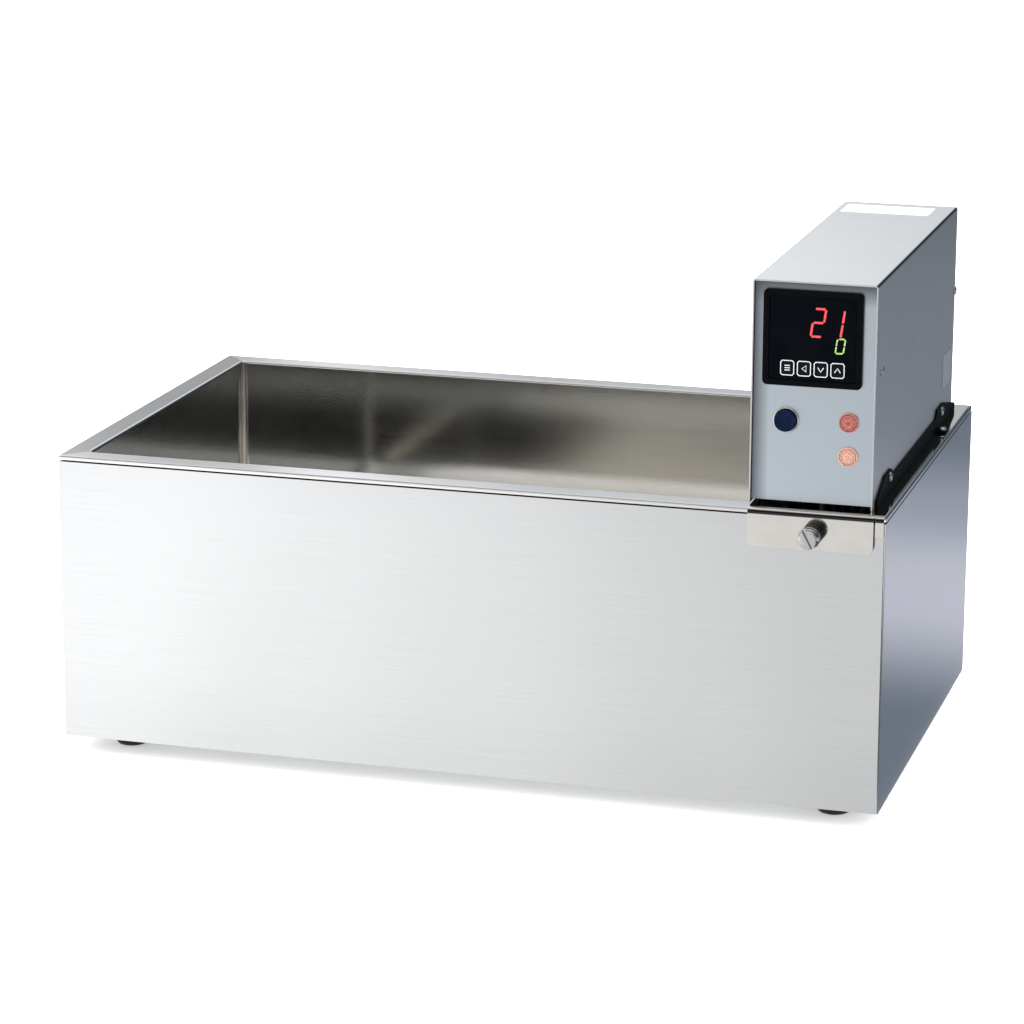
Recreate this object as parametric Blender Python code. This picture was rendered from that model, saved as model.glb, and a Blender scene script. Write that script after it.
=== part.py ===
"""Laboratory water bath: a stainless tank in a casing, with a lift-off control head.

Metres, +Z up, +Y to the back.  The origin lies under the middle of the whole
bath, on the surface that its feet stand on.
"""
import math

import bmesh
import bpy
from mathutils import Matrix, Vector

MM = 0.001

# General
gap = 0.3 * MM
overrun = 5 * MM
round_steps = 20
small_steps = 12
crease_angle = math.radians(32)

# Bath body
bath_length = 640 * MM
bath_depth = 373 * MM
body_height = 224 * MM
casing_sheet = 1.0 * MM
casing_corner_radius = 1.6 * MM
casing_return = 12 * MM
base_return = 15 * MM
back_return = 15 * MM
base_sheet = 1.2 * MM

# Tank
rim_width = 19 * MM
rim_lip = 3.2 * MM
rim_corner_radius = 3 * MM
rim_edge_radius = 1.2 * MM
mouth_radius = 2.0 * MM
shadow_gap = 1.2 * MM
tank_sheet = 1.0 * MM
tank_depth = 176 * MM
tank_corner_radius = 8 * MM
tank_floor_radius = 13 * MM
tank_arc_steps = 4
seal_inset = 2.4 * MM
seal_width = 7 * MM

# Feet
foot_exposed = 14 * MM
foot_radius = 13 * MM
foot_base_radius = 11 * MM
foot_bulge = 4 * MM
foot_inset = 40 * MM
foot_hollow_radius = 5 * MM
foot_hollow_depth = 7 * MM
foot_neck_radius = 4 * MM
foot_head_radius = 5.5 * MM
foot_head_height = 5 * MM

# Pan-head screws
screw_head_radius = 3.5 * MM
screw_head_height = 2.0 * MM
screw_shank_radius = 1.5 * MM
screw_shank_length = 5 * MM
screw_hole_radius = screw_shank_radius + gap
screw_recess_length = 3.4 * MM
screw_recess_width = 0.8 * MM
screw_recess_depth = 1.0 * MM
screw_dome_shares = ((1, 0.5), (0.8, 0.88), (0.4, 1))

# Control head
head_width = 91 * MM
head_depth = 332.5 * MM
head_height = 167 * MM
head_right_inset = 12 * MM
head_front_inset = 8.5 * MM
head_sheet = 1.2 * MM
head_bend_radius = 1.8 * MM
head_bottom_return = 9 * MM
face_recess = 2.2 * MM
face_bottom_gap = 2.6 * MM
face_return = 26 * MM
rear_return = 12 * MM
rear_recess = 0.6 * MM
cover_screw_front = 21 * MM
cover_screw_rear = 5.2 * MM
cover_screw_height = 101 * MM

# Mounting plate
plate_sheet = 1.5 * MM
plate_left_inset = 2 * MM
plate_right_inset = 1 * MM
plate_back_overlap = 8 * MM
plate_head_margin = 4 * MM
plate_stand_off = 2.3 * MM
flange_right_inset = 8.5 * MM
flange_drop = 27 * MM
flange_corner_radius = 5 * MM
flange_slot = 1.2 * MM
corner_tab_drop = 13.5 * MM

# Side bracket
bracket_sheet = 1.5 * MM
bracket_start = 9.5 * MM
bracket_height = 12.5 * MM
bracket_end_height = 7.5 * MM
ear_height = 19 * MM
front_ear_start = 30 * MM
front_ear_length = 24 * MM
front_ear_slope = 12 * MM
rear_ear_from_back = 47 * MM
rear_ear_length = 26 * MM
bracket_end_overhang = 6 * MM
ear_screw_height = 14.5 * MM
ear_screw_inset = 17 * MM
rear_screw_inset = 16 * MM
bracket_tab_width = 14 * MM
bracket_tab_from_back = 73.5 * MM

# Clamp thumbscrew
clamp_drop = 14.5 * MM
clamp_left = 50.5 * MM
stud_radius = 3.0 * MM
stud_grip = 6 * MM
thread_gap = 0.25 * MM
bush_radius = 5 * MM
bush_collar_radius = 7.5 * MM
bush_collar = 1.7 * MM
knob_radius = 8 * MM
knob_length = 16.5 * MM
knob_set_off = 0.6 * MM
knob_edge = 0.8 * MM
knob_slot_width = 1.6 * MM
knob_slot_depth = 1.4 * MM

# Controller
bezel_width = 72.5 * MM
bezel_height = 70 * MM
bezel_depth = 4.0 * MM
bezel_corner_radius = 3.5 * MM
bezel_edge = 1.2 * MM
bezel_left = 8.2 * MM
bezel_drop = 6.3 * MM
bezel_border = 4.5 * MM
window_recess = 0.9 * MM
window_sheet = 2.0 * MM
window_corner_radius = 2 * MM
key_size = 10.6 * MM
key_height = 11.6 * MM
key_pitch = 12.2 * MM
key_row_left = 8.6 * MM
key_row_rise = 3.0 * MM
key_corner_radius = 1.2 * MM
key_proud = 0.3 * MM
key_depth = 3.0 * MM
key_travel = 0.5 * MM
controller_wall = 1.6 * MM
controller_length = 62 * MM
controller_inset = 2.6 * MM
module_depth = 6 * MM
module_width = 36 * MM
module_height = 27 * MM
display_board_sheet = 1.6 * MM
display_board_set_back = 11 * MM
display_ledge = 2.2 * MM
dome_radius = 3 * MM

# Power button
button_left = 26 * MM
button_rise = 65 * MM
button_radius = 7.9 * MM
button_proud = 5.5 * MM
button_crown = 1.0 * MM
button_stem = 5 * MM
button_crown_shares = ((0.55, 0.2), (0.88, 0.7), (1, 2))
button_travel = 3 * MM
ring_radius = 9.6 * MM
ring_proud = 1.4 * MM
ring_edge = 0.5 * MM
switch_radius = 9.0 * MM
switch_length = 24 * MM
switch_nut_radius = 12 * MM
switch_nut = 3 * MM

# Lamps
lamp_left = 71.9 * MM
level_lamp_rise = 65.8 * MM
output_lamp_rise = 40.7 * MM
lens_radius = 6.4 * MM
lens_crown = 3.0 * MM
lens_rim = 0.8 * MM
lens_stem_radius = 4.2 * MM
lens_stem = 7 * MM
lens_dome_shares = ((0.45, 0.12), (0.8, 0.45), (0.97, 0.85), (1, 1))
holder_radius = 6.4 * MM
holder_length = 22 * MM

# Rear panel fittings
vent_count = 6
vent_width = 50 * MM
vent_height = 3 * MM
vent_pitch = 8 * MM
vent_rise = 88 * MM
gland_rise = 24 * MM
gland_radius = 8 * MM
gland_bore_radius = 4 * MM
gland_proud = 11 * MM
gland_collar = 4 * MM
gland_collar_radius = 10.5 * MM
gland_left = 30 * MM
gland_nose_share = 0.7
fuse_left = 66 * MM
fuse_rise = 52 * MM
fuse_radius = 6 * MM
fuse_cap_radius = 8 * MM
fuse_cap = 6 * MM
fuse_length = 34 * MM
fuse_nose_share = 0.8

# Rating plate
rating_width = 34 * MM
rating_height = 26 * MM
rating_sheet = 0.5 * MM
rating_rise = 30 * MM
rating_from_back = 12 * MM
face_gap = 0.05 * MM

# Heater
heater_radius = 4 * MM
heater_left = 38 * MM
heater_spacing = 28 * MM
heater_front = 118 * MM
heater_back = 300 * MM
heater_floor_gap = 16 * MM
heater_bend_radius = 13 * MM
heater_pin_radius = 1.5 * MM
heater_pin = 12 * MM
heater_gland_radius = 8 * MM
heater_gland_collar_radius = 11 * MM
heater_gland_collar = 4 * MM
heater_gland_top = 6 * MM

# Temperature probe
probe_radius = 2.5 * MM
probe_left = 25 * MM
probe_back = 70 * MM
probe_length = 120 * MM
probe_top = 14 * MM
sensor_gland_radius = 5 * MM
sensor_collar_radius = 8 * MM
sensor_collar = 5 * MM
sensor_bottom_collar = 3 * MM

# Level switch
level_left = 24 * MM
level_depth_share = 0.8316
level_stem_radius = 4 * MM
level_length = 74 * MM
level_top = 12 * MM
level_collar_radius = 8 * MM
float_radius = 12.5 * MM
float_height = 20 * MM
float_bore_radius = level_stem_radius + gap
float_edge = 2.5 * MM
float_travel = 15 * MM
stop_radius = 7 * MM
stop_height = 3 * MM

# Stirrer
motor_left = 46 * MM
motor_depth_share = 0.624
motor_radius = 27 * MM
motor_height = 72 * MM
motor_edge = 3 * MM
motor_lift = 16 * MM
motor_boss_radius = 9 * MM
motor_boss = 3 * MM
motor_foot_radius = 4 * MM
motor_foot_spread = 16 * MM
shaft_radius = 3 * MM
shaft_length = 125 * MM
shaft_socket = 8 * MM
running_gap = 0.1 * MM
bush_flange_radius = 9 * MM
bush_barrel_radius = 6 * MM
bush_flange = 3 * MM
bush_barrel = 8 * MM
impeller_radius = 19 * MM
impeller_hub_radius = 6 * MM
impeller_hub = 12 * MM
impeller_blades = 4
blade_sheet = 1.4 * MM
blade_height = 10 * MM
blade_pitch = math.radians(38)
blade_root_share = 0.6

# Electronics
board_sheet = 1.6 * MM
board_length = 92 * MM
board_height = 74 * MM
board_back = 92 * MM
board_rise = 30 * MM
board_bracket_sheet = 1.2 * MM
board_foot = 9 * MM
stand_off_radius = 2.5 * MM
stand_off_length = 4 * MM
stand_off_inset = 6 * MM
relay_width = 30 * MM
relay_length = 44 * MM
relay_height = 22 * MM
relay_back = 44 * MM
relay_left = 48 * MM
sink_base = 4 * MM
sink_fin = 12 * MM
sink_fins = 5
sink_fin_sheet = 2 * MM
supply_width = 34 * MM
supply_length = 42 * MM
supply_height = 30 * MM
supply_coil_edge = 4 * MM
supply_left = 44 * MM
supply_depth_share = 0.8256
supply_foot = 1.5 * MM
supply_foot_reach = 6 * MM
terminal_width = 26 * MM
terminal_length = 12 * MM
terminal_height = 14 * MM
terminal_left = 42 * MM
terminal_from_back = 8 * MM
terminal_ways = 4
terminal_well = 2 * MM

# Derived places
bath_left = -bath_length / 2
bath_right = bath_length / 2
knob_reach = plate_stand_off + plate_sheet + knob_set_off + knob_length
overall_depth = knob_reach + bath_depth
bath_front = -overall_depth / 2 + knob_reach
bath_back = bath_front + bath_depth
casing_bottom = foot_exposed
rim_top = casing_bottom + body_height
casing_top = rim_top - rim_lip - shadow_gap
tank_back = bath_back - rim_width
tank_floor = rim_top - tank_depth
head_right = bath_right - head_right_inset
head_left = head_right - head_width
head_front = bath_front + head_front_inset
head_back = head_front + head_depth
plate_bottom = rim_top + gap
plate_top = plate_bottom + plate_sheet
head_bottom = plate_top + gap
head_top = rim_top + head_height
face_front = head_front + face_recess
face_back = face_front + head_sheet
plate_left = head_left + plate_left_inset
plate_right = bath_right - plate_right_inset
flange_front = bath_front - plate_stand_off - plate_sheet
flange_right = bath_right - flange_right_inset
inner_left = head_left + head_sheet
inner_right = head_right - head_sheet
inner_top = head_top - head_sheet
back_return_front = bath_back - casing_sheet - gap
back_screw_inset = casing_sheet + back_return / 2
back_screw_columns = (bath_left + back_screw_inset, bath_right - back_screw_inset)
back_screw_rows = (casing_bottom + back_return, (casing_bottom + casing_top) / 2, casing_top - back_return)
back_screw_places = [(x, z) for x in back_screw_columns for z in back_screw_rows]
foot_names = ("foot_front_left", "foot_front_right", "foot_back_left", "foot_back_right")
foot_places = [(x, y) for y in (bath_front + foot_inset, bath_back - foot_inset)
               for x in (bath_left + foot_inset, bath_right - foot_inset)]
bezel_x = head_left + bezel_left
bezel_top = head_top - bezel_drop
bezel_bottom = bezel_top - bezel_height
bezel_back = face_front - face_gap
bezel_front = face_front - bezel_depth
window_front = bezel_front + window_recess
window_back = window_front + window_sheet
button_place = (head_left + button_left, 0, rim_top + button_rise)
level_lamp_place = (head_left + lamp_left, 0, rim_top + level_lamp_rise)
output_lamp_place = (head_left + lamp_left, 0, rim_top + output_lamp_rise)
clamp_place = (head_left + clamp_left, 0, rim_top - clamp_drop)
heater_x = head_left + heater_left
heater_y = bath_front + heater_front
heater_places = [(heater_x, heater_y), (heater_x + heater_spacing, heater_y)]
probe_place = (head_left + probe_left, bath_front + probe_back)
level_place = (head_left + level_left, head_front + level_depth_share * head_depth)
motor_place = (head_left + motor_left, head_front + motor_depth_share * head_depth)
relay_low = (head_left + relay_left, bath_front + relay_back)
supply_low = (head_left + supply_left,
              head_front + supply_depth_share * head_depth - supply_length / 2)
motor_foot_places = [(motor_place[0] + a * motor_foot_spread, motor_place[1] + b * motor_foot_spread)
                     for a in (-1, 1) for b in (-1, 1)]
rim_screw_place = (head_right + bracket_sheet + screw_head_radius + 2 * gap,
                   head_back - bracket_tab_from_back)
gland_place = (head_left + gland_left, 0, rim_top + gland_rise)
fuse_place = (head_left + fuse_left, 0, rim_top + fuse_rise)
rim_screw_length = bracket_sheet + face_gap + gap + plate_sheet
cover_screw_places = [(y, rim_top + cover_screw_height)
                      for y in (head_front + cover_screw_front, head_back - cover_screw_rear)]
bracket_front = head_front + bracket_start
rear_ear_front = head_back - rear_ear_from_back - rear_ear_length
ear_screw_places = [(bracket_front + front_ear_start + ear_screw_inset, rim_top + ear_screw_height),
                    (rear_ear_front + rear_screw_inset, rim_top + ear_screw_height)]
key_names = ("mode_key", "shift_key", "down_key", "up_key")


def clear_scene():
    for item in list(bpy.data.objects):
        bpy.data.objects.remove(item, do_unlink=True)


def make_material(name, colour, metallic=0.0, roughness=0.5):
    material = bpy.data.materials.new(name)
    material.use_nodes = True
    shader = material.node_tree.nodes["Principled BSDF"]
    shader.inputs["Base Color"].default_value = (*colour, 1)
    shader.inputs["Metallic"].default_value = metallic
    shader.inputs["Roughness"].default_value = roughness
    return material


def add_object(name, bm):
    """Turn a bmesh into an object whose faces point out."""
    bmesh.ops.recalc_face_normals(bm, faces=bm.faces)
    mesh = bpy.data.meshes.new(name)
    bm.to_mesh(mesh)
    bm.free()
    item = bpy.data.objects.new(name, mesh)
    bpy.context.scene.collection.objects.link(item)
    return item


def prism(outline, axis, low, high):
    """Extrude a flat outline along X, Y or Z; its points are the other two axes in order."""
    bm = bmesh.new()
    place = {"X": lambda a, b: (low, a, b),
             "Y": lambda a, b: (a, low, b),
             "Z": lambda a, b: (a, b, low)}[axis]
    face = bm.faces.new([bm.verts.new(place(a, b)) for a, b in outline])
    grown = bmesh.ops.extrude_face_region(bm, geom=[face])
    move = Vector([high - low if letter == axis else 0 for letter in "XYZ"])
    bmesh.ops.translate(bm, vec=move, verts=[v for v in grown["geom"] if isinstance(v, bmesh.types.BMVert)])
    return add_object("prism", bm)


def rectangle(a0, a1, b0, b1):
    return [(a0, b0), (a1, b0), (a1, b1), (a0, b1)]


def rounded(a0, a1, b0, b1, radius, steps=4, corners=(True, True, True, True)):
    """A rectangle's outline; its corners, from low-low and counterclockwise, are round where named."""
    points = []
    centres = [(a0, b0, 1, 1), (a1, b0, -1, 1), (a1, b1, -1, -1), (a0, b1, 1, -1)]
    for number, (a, b, sign_a, sign_b) in enumerate(centres):
        if not corners[number]:
            points.append((a, b))
            continue
        start = math.pi + number * math.pi / 2
        for step in range(steps + 1):
            angle = start + step / steps * math.pi / 2
            points.append((a + sign_a * radius + radius * math.cos(angle),
                           b + sign_b * radius + radius * math.sin(angle)))
    return points


def block(low, high):
    return prism(rectangle(low[0], high[0], low[1], high[1]), "Z", low[2], high[2])


def rounded_block(low, high, radius, axis, edge=0):
    """A block with round corners about one axis, and its far edges eased."""
    first, second = [number for number in range(3) if "XYZ"[number] != axis]
    along = "XYZ".index(axis)
    outline = rounded(low[first], high[first], low[second], high[second], radius)
    item = prism(outline, axis, low[along], high[along])
    if edge:
        ease(item, edge, lambda centre, normal: abs(normal["XYZ".index(axis)]) > 1 - gap)
    return item


def ease(item, width, chosen, segments=2):
    """Round the edges round the faces that are chosen by centre and normal."""
    bm = bmesh.new()
    bm.from_mesh(item.data)
    bm.faces.ensure_lookup_table()
    edges = {e for f in bm.faces if chosen(f.calc_center_median(), f.normal) for e in f.edges}
    bmesh.ops.bevel(bm, geom=list(edges), offset=width, segments=segments, profile=0.5, affect="EDGES")
    bm.to_mesh(item.data)
    bm.free()


def turned(profile, centre, axis="Z", steps=round_steps, ring=False):
    """Turn (radius, height) points about an axis; a ring's profile closes on itself."""
    bm = bmesh.new()
    rows = []
    for radius, height in profile:
        count = 1 if radius == 0 else steps
        row = []
        for step in range(count):
            angle = 2 * math.pi * step / steps
            across = (radius * math.cos(angle), radius * math.sin(angle))
            point = {"Z": (across[0], across[1], height),
                     "Y": (across[0], height, across[1]),
                     "X": (height, across[0], across[1])}[axis]
            row.append(bm.verts.new(Vector(point) + Vector(centre)))
        rows.append(row)
    pairs = list(zip(rows, rows[1:] + (rows[:1] if ring else [])))
    for lower, upper in pairs:
        for step in range(steps):
            after = (step + 1) % steps
            corners = [lower[step % len(lower)], lower[after % len(lower)],
                       upper[after % len(upper)], upper[step % len(upper)]]
            unique = list(dict.fromkeys(corners))
            if len(unique) > 2:
                bm.faces.new(unique)
    if not ring:
        for row in (rows[0], rows[-1]):
            if len(row) > 2:
                bm.faces.new(row)
    return add_object("turned", bm)


def rod(radius, low, high, centre, axis="Z", steps=round_steps):
    return turned([(radius, low), (radius, high)], centre, axis, steps)


def arc(centre_a, centre_b, radius, start, end, steps=3):
    """Points on an arc, from start to end in degrees."""
    angles = [math.radians(start + (end - start) * step / steps) for step in range(steps + 1)]
    return [(centre_a + radius * math.cos(t), centre_b + radius * math.sin(t)) for t in angles]


def bent_path(points, radius, steps=5):
    """A polyline with its corners rounded to one radius."""
    path = [Vector(points[0])]
    for before, corner, after in zip(points, points[1:], points[2:]):
        back = (Vector(before) - Vector(corner)).normalized()
        ahead = (Vector(after) - Vector(corner)).normalized()
        half = back.angle(ahead) / 2
        reach = radius / math.tan(half)
        middle = Vector(corner) + (back + ahead).normalized() * (radius / math.sin(half))
        first = Vector(corner) + back * reach - middle
        last = Vector(corner) + ahead * reach - middle
        for step in range(steps + 1):
            turn = Matrix.Rotation(first.angle(last) * step / steps, 3, first.cross(last))
            path.append(middle + turn @ first)
    path.append(Vector(points[-1]))
    return path


def tube(path, radius, resolution=2):
    """A round tube along a path, as a closed mesh."""
    curve = bpy.data.curves.new("tube", "CURVE")
    curve.dimensions = "3D"
    curve.bevel_depth = radius
    curve.bevel_resolution = resolution
    curve.use_fill_caps = True
    spline = curve.splines.new("POLY")
    spline.points.add(len(path) - 1)
    for point, place in zip(spline.points, path):
        point.co = (*place, 1)
    guide = bpy.data.objects.new("guide", curve)
    bpy.context.scene.collection.objects.link(guide)
    graph = bpy.context.evaluated_depsgraph_get()
    mesh = bpy.data.meshes.new_from_object(guide.evaluated_get(graph))
    bpy.data.objects.remove(guide, do_unlink=True)
    bm = bmesh.new()
    bm.from_mesh(mesh)
    bmesh.ops.remove_doubles(bm, verts=bm.verts, dist=gap / 100)
    return add_object("tube", bm)


def combine(item, tools, operation):
    """Cut tools out of a solid, or fuse them to it, and keep the result as its mesh."""
    for tool in tools:
        change = item.modifiers.new("change", "BOOLEAN")
        change.operation = operation
        change.solver = "EXACT"
        change.object = tool
    graph = bpy.context.evaluated_depsgraph_get()
    mesh = bpy.data.meshes.new_from_object(item.evaluated_get(graph))
    item.modifiers.clear()
    item.data = mesh
    for tool in tools:
        bpy.data.objects.remove(tool, do_unlink=True)
    return item


def cut(item, *tools):
    return combine(item, tools, "DIFFERENCE")


def fuse(item, *tools):
    return combine(item, tools, "UNION")


def finish(item, name, material, pivot=None):
    """Name a finished piece, give it its material, and hang it on its joint's pivot."""
    item.name = name
    item.data.name = name
    item.data.materials.clear()
    item.data.materials.append(materials[material])
    item.data.shade_smooth()
    item.data.set_sharp_from_angle(angle=crease_angle)
    if pivot is not None:
        item.data.transform(Matrix.Translation(-pivot.location))
        item.parent = pivot
    return item


def add_pivot(name, place):
    pivot = bpy.data.objects.new(name, None)
    pivot.location = place
    bpy.context.scene.collection.objects.link(pivot)
    return pivot


def pan_screw(seat, direction, length=screw_shank_length):
    """A pan-head screw whose head stands on its seat and faces along a signed axis."""
    sign = 1 if direction[0] == "+" else -1
    axis = direction[1]
    head = [(0, -length), (screw_shank_radius, -length), (screw_shank_radius, 0), (screw_head_radius, 0),
            *[(screw_head_radius * wide, screw_head_height * tall) for wide, tall in screw_dome_shares],
            (0, screw_head_height)]
    item = turned([(radius, sign * height) for radius, height in head], seat, axis, small_steps)
    along = "XYZ".index(axis)
    across = [number for number in range(3) if number != along]
    cuts = []
    for wide, narrow in (across, across[::-1]):
        low, high = Vector(seat), Vector(seat)
        low[wide] -= screw_recess_length / 2
        high[wide] += screw_recess_length / 2
        low[narrow] -= screw_recess_width / 2
        high[narrow] += screw_recess_width / 2
        ends = sorted((seat[along] + sign * (screw_head_height - screw_recess_depth),
                       seat[along] + sign * (screw_head_height + overrun)))
        low[along], high[along] = ends
        cuts.append(block(low, high))
    cross = fuse(cuts[0], cuts[1])
    return cut(item, cross)


def make_casing():
    """One sheet wrapped round front, left and right, its edges turned in."""
    corners = (True, True, False, False)
    shell = prism(rounded(bath_left, bath_right, bath_front, bath_back, casing_corner_radius, 3, corners),
                  "Z", casing_bottom, casing_top)
    wall_left, wall_right = bath_left + casing_sheet, bath_right - casing_sheet
    wall_front = bath_front + casing_sheet
    low, high = casing_bottom + casing_sheet, casing_top - casing_sheet
    hollow = block((wall_left, wall_front, low), (wall_right, back_return_front - casing_sheet, high))
    recess = block((wall_left, back_return_front, casing_bottom - overrun),
                   (wall_right, bath_back + overrun, casing_top + overrun))
    way_out = block((wall_left + back_return, wall_front + casing_return, low),
                    (wall_right - back_return, bath_back + overrun, high))
    top_hole = block((wall_left + casing_return, wall_front + casing_return, high - overrun),
                     (wall_right - casing_return, back_return_front + overrun, casing_top + overrun))
    bottom_hole = block((wall_left + base_return, wall_front + base_return, casing_bottom - overrun),
                        (wall_right - base_return, back_return_front + overrun, low + overrun))
    casing = cut(shell, hollow, recess, way_out, top_hole, bottom_hole)
    holes = [rod(screw_hole_radius, back_return_front - overrun, back_return_front + overrun, (x, 0, z), "Y",
                 small_steps) for x, z in back_screw_places]
    finish(cut(casing, *holes), "outer_casing", "brushed stainless")


def make_back_panel():
    low_x, high_x = bath_left + casing_sheet + gap, bath_right - casing_sheet - gap
    inset = back_return + gap
    panel = block((low_x, bath_back - casing_sheet, casing_bottom), (high_x, bath_back, casing_top))
    for z in (casing_bottom, casing_top - casing_sheet):
        reach = base_return if z == casing_bottom else casing_return
        panel = fuse(panel, block((low_x + inset, bath_back - casing_sheet - reach, z),
                                  (high_x - inset, bath_back - gap, z + casing_sheet)))
    holes = [rod(screw_hole_radius, bath_back - overrun, bath_back + overrun, (x, 0, z), "Y", small_steps)
             for x, z in back_screw_places]
    finish(cut(panel, *holes), "back_panel", "brushed stainless")


def make_base():
    inset = casing_sheet + gap
    low = casing_bottom + casing_sheet + gap
    plate = block((bath_left + inset, bath_front + inset, low),
                  (bath_right - inset, back_return_front - inset, low + base_sheet))
    holes = [rod(foot_neck_radius + gap, low - overrun, low + overrun, (x, y, 0)) for x, y in foot_places]
    finish(cut(plate, *holes), "base_plate", "galvanised steel")
    return low


def make_feet(base_bottom):
    """Rubber feet, each held by a neck and a wider head pushed through the base plate."""
    top = base_bottom - gap
    head_low = base_bottom + base_sheet + gap
    head_high = head_low + foot_head_height
    profile = [(0, foot_hollow_depth), (foot_hollow_radius, foot_hollow_depth), (foot_hollow_radius, 0),
               (foot_base_radius, 0)]
    profile += arc(foot_radius - foot_bulge, foot_bulge, foot_bulge, -45, 0)
    profile += [(foot_radius, top), (foot_neck_radius, top), (foot_neck_radius, head_low),
                (foot_head_radius, head_low), (foot_neck_radius, head_high), (0, head_high)]
    for name, (x, y) in zip(foot_names, foot_places):
        finish(turned(profile, (x, y, 0)), name, "black rubber")


def ring_points(inset, radius, z):
    """A rounded rectangle inset from the bath's outline, with as many points for every radius."""
    outline = rounded(bath_left + inset, bath_right - inset, bath_front + inset, bath_back - inset,
                      radius, tank_arc_steps)
    return [Vector((x, y, z)) for x, y in outline]


def loft(rings):
    """A closed solid through rings of points, capped at both ends."""
    bm = bmesh.new()
    rows = [[bm.verts.new(point) for point in ring] for ring in rings]
    for lower, upper in zip(rows, rows[1:]):
        for index in range(len(lower)):
            after = (index + 1) % len(lower)
            bm.faces.new((lower[index], lower[after], upper[after], upper[index]))
    bm.faces.new(rows[0])
    bm.faces.new(rows[-1])
    return add_object("loft", bm)


def make_tank():
    """The pressed tank: floor, round floor bends, walls, mouth bend, rim and turned-down lip."""
    rings = []
    inner, outer = rim_width, rim_width - tank_sheet
    bend = tank_floor_radius
    for step in range(tank_arc_steps + 1):
        angle = math.pi / 2 * step / tank_arc_steps
        inset = inner + bend * (1 - math.sin(angle))
        rings.append(ring_points(inset, tank_corner_radius, tank_floor + bend * (1 - math.cos(angle))))
    for inset, height in arc(inner - mouth_radius, rim_top - mouth_radius, mouth_radius, 0, 90):
        rings.append(ring_points(inset, tank_corner_radius, height))
    for inset, height in arc(rim_edge_radius, rim_top - rim_edge_radius, rim_edge_radius, 90, 180):
        rings.append(ring_points(inset, rim_corner_radius, height))
    rings.append(ring_points(0, rim_corner_radius, rim_top - rim_lip))
    rings.append(ring_points(tank_sheet, rim_corner_radius, rim_top - rim_lip))
    rings.append(ring_points(tank_sheet, rim_corner_radius, rim_top - tank_sheet))
    rings.append(ring_points(outer, tank_corner_radius, rim_top - tank_sheet))
    for step in range(tank_arc_steps, -1, -1):
        angle = math.pi / 2 * step / tank_arc_steps
        inset = outer + bend * (1 - math.sin(angle))
        height = tank_floor - tank_sheet + bend * (1 - math.cos(angle))
        rings.append(ring_points(inset, tank_corner_radius, height))
    finish(loft(rings), "inner_tank", "brushed stainless")


def make_seal():
    """The strip that the rim rests on, set back so that it shows as a dark line."""
    low, high = casing_top + gap, rim_top - tank_sheet - gap
    outer = rounded(bath_left + seal_inset, bath_right - seal_inset, bath_front + seal_inset,
                    bath_back - seal_inset, rim_corner_radius)
    inner_inset = seal_inset + seal_width
    hole = block((bath_left + inner_inset, bath_front + inner_inset, low - overrun),
                 (bath_right - inner_inset, bath_back - inner_inset, high + overrun))
    finish(cut(prism(outer, "Z", low, high), hole), "rim_seal", "black rubber")


def make_insulation(base_bottom):
    """A blanket that fills the space between tank and casing, below the turned-in edges."""
    inset = casing_sheet + gap
    low = base_bottom + base_sheet + gap
    high = casing_top - casing_sheet - gap
    blanket = block((bath_left + inset, bath_front + inset, low),
                    (bath_right - inset, bath_back - screw_shank_length, high))
    clear = rim_width - tank_sheet - gap
    pocket = block((bath_left + clear, bath_front + clear, tank_floor - tank_sheet - gap),
                   (bath_right - clear, bath_back - clear, high + overrun))
    wells = [rod(foot_head_radius + gap, low - overrun, low + foot_head_height + gap, (x, y, 0))
             for x, y in foot_places]
    finish(cut(blanket, pocket, *wells), "insulation_blanket", "mineral wool")


def make_cover():
    """The folded cover: top and two sides, with narrow returns that stand on the plate."""
    corners = (False, False, True, True)
    outline = rounded(head_left, head_right, head_bottom, head_top, head_bend_radius, 3, corners)
    inside = rounded(inner_left, inner_right, head_bottom + head_sheet, inner_top,
                     head_bend_radius - head_sheet, 3, corners)
    low_y, high_y = head_front - overrun, head_back + overrun
    hollow = prism(inside, "Y", low_y, high_y)
    opening = block((inner_left + head_bottom_return, low_y, head_bottom - overrun),
                    (inner_right - head_bottom_return, high_y, head_bottom + overrun))
    notch = block((inner_left, low_y, head_bottom - overrun),
                  (inner_right, face_back + gap, head_bottom + overrun))
    holes = [rod(screw_hole_radius, head_right - overrun, head_right + overrun, (0, y, z), "X", small_steps)
             for y, z in cover_screw_places + ear_screw_places]
    cover = cut(prism(outline, "Y", head_front, head_back), hollow, opening, notch)
    finish(cut(cover, *holes), "head_cover", "brushed stainless")


def make_face():
    """The recessed front panel, folded back at both sides, with its cut-outs."""
    left, right = inner_left + gap, inner_right - gap
    low, high = head_bottom + face_bottom_gap, inner_top - gap
    face = block((left, face_front, low), (right, face_back, high))
    for side, edge in ((left, left + head_sheet), (right - head_sheet, right)):
        face = fuse(face, block((side, face_back - gap, low), (edge, face_back + face_return, high)))
    inset = controller_inset - gap
    window = block((bezel_x + inset, face_front - overrun, bezel_bottom + inset),
                   (bezel_x + bezel_width - inset, face_back + overrun, bezel_top - inset))
    through = (face_front - overrun, face_back + overrun)
    switch_hole = rod(switch_radius + gap, *through, button_place, "Y")
    lamp_holes = [rod(lens_stem_radius + gap, *through, place, "Y")
                  for place in (level_lamp_place, output_lamp_place)]
    y, z = cover_screw_places[0]
    screw_hole = rod(screw_hole_radius, right - overrun, right + overrun, (0, y, z), "X", small_steps)
    finish(cut(face, window, switch_hole, *lamp_holes, screw_hole), "face_panel", "satin stainless")


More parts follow.
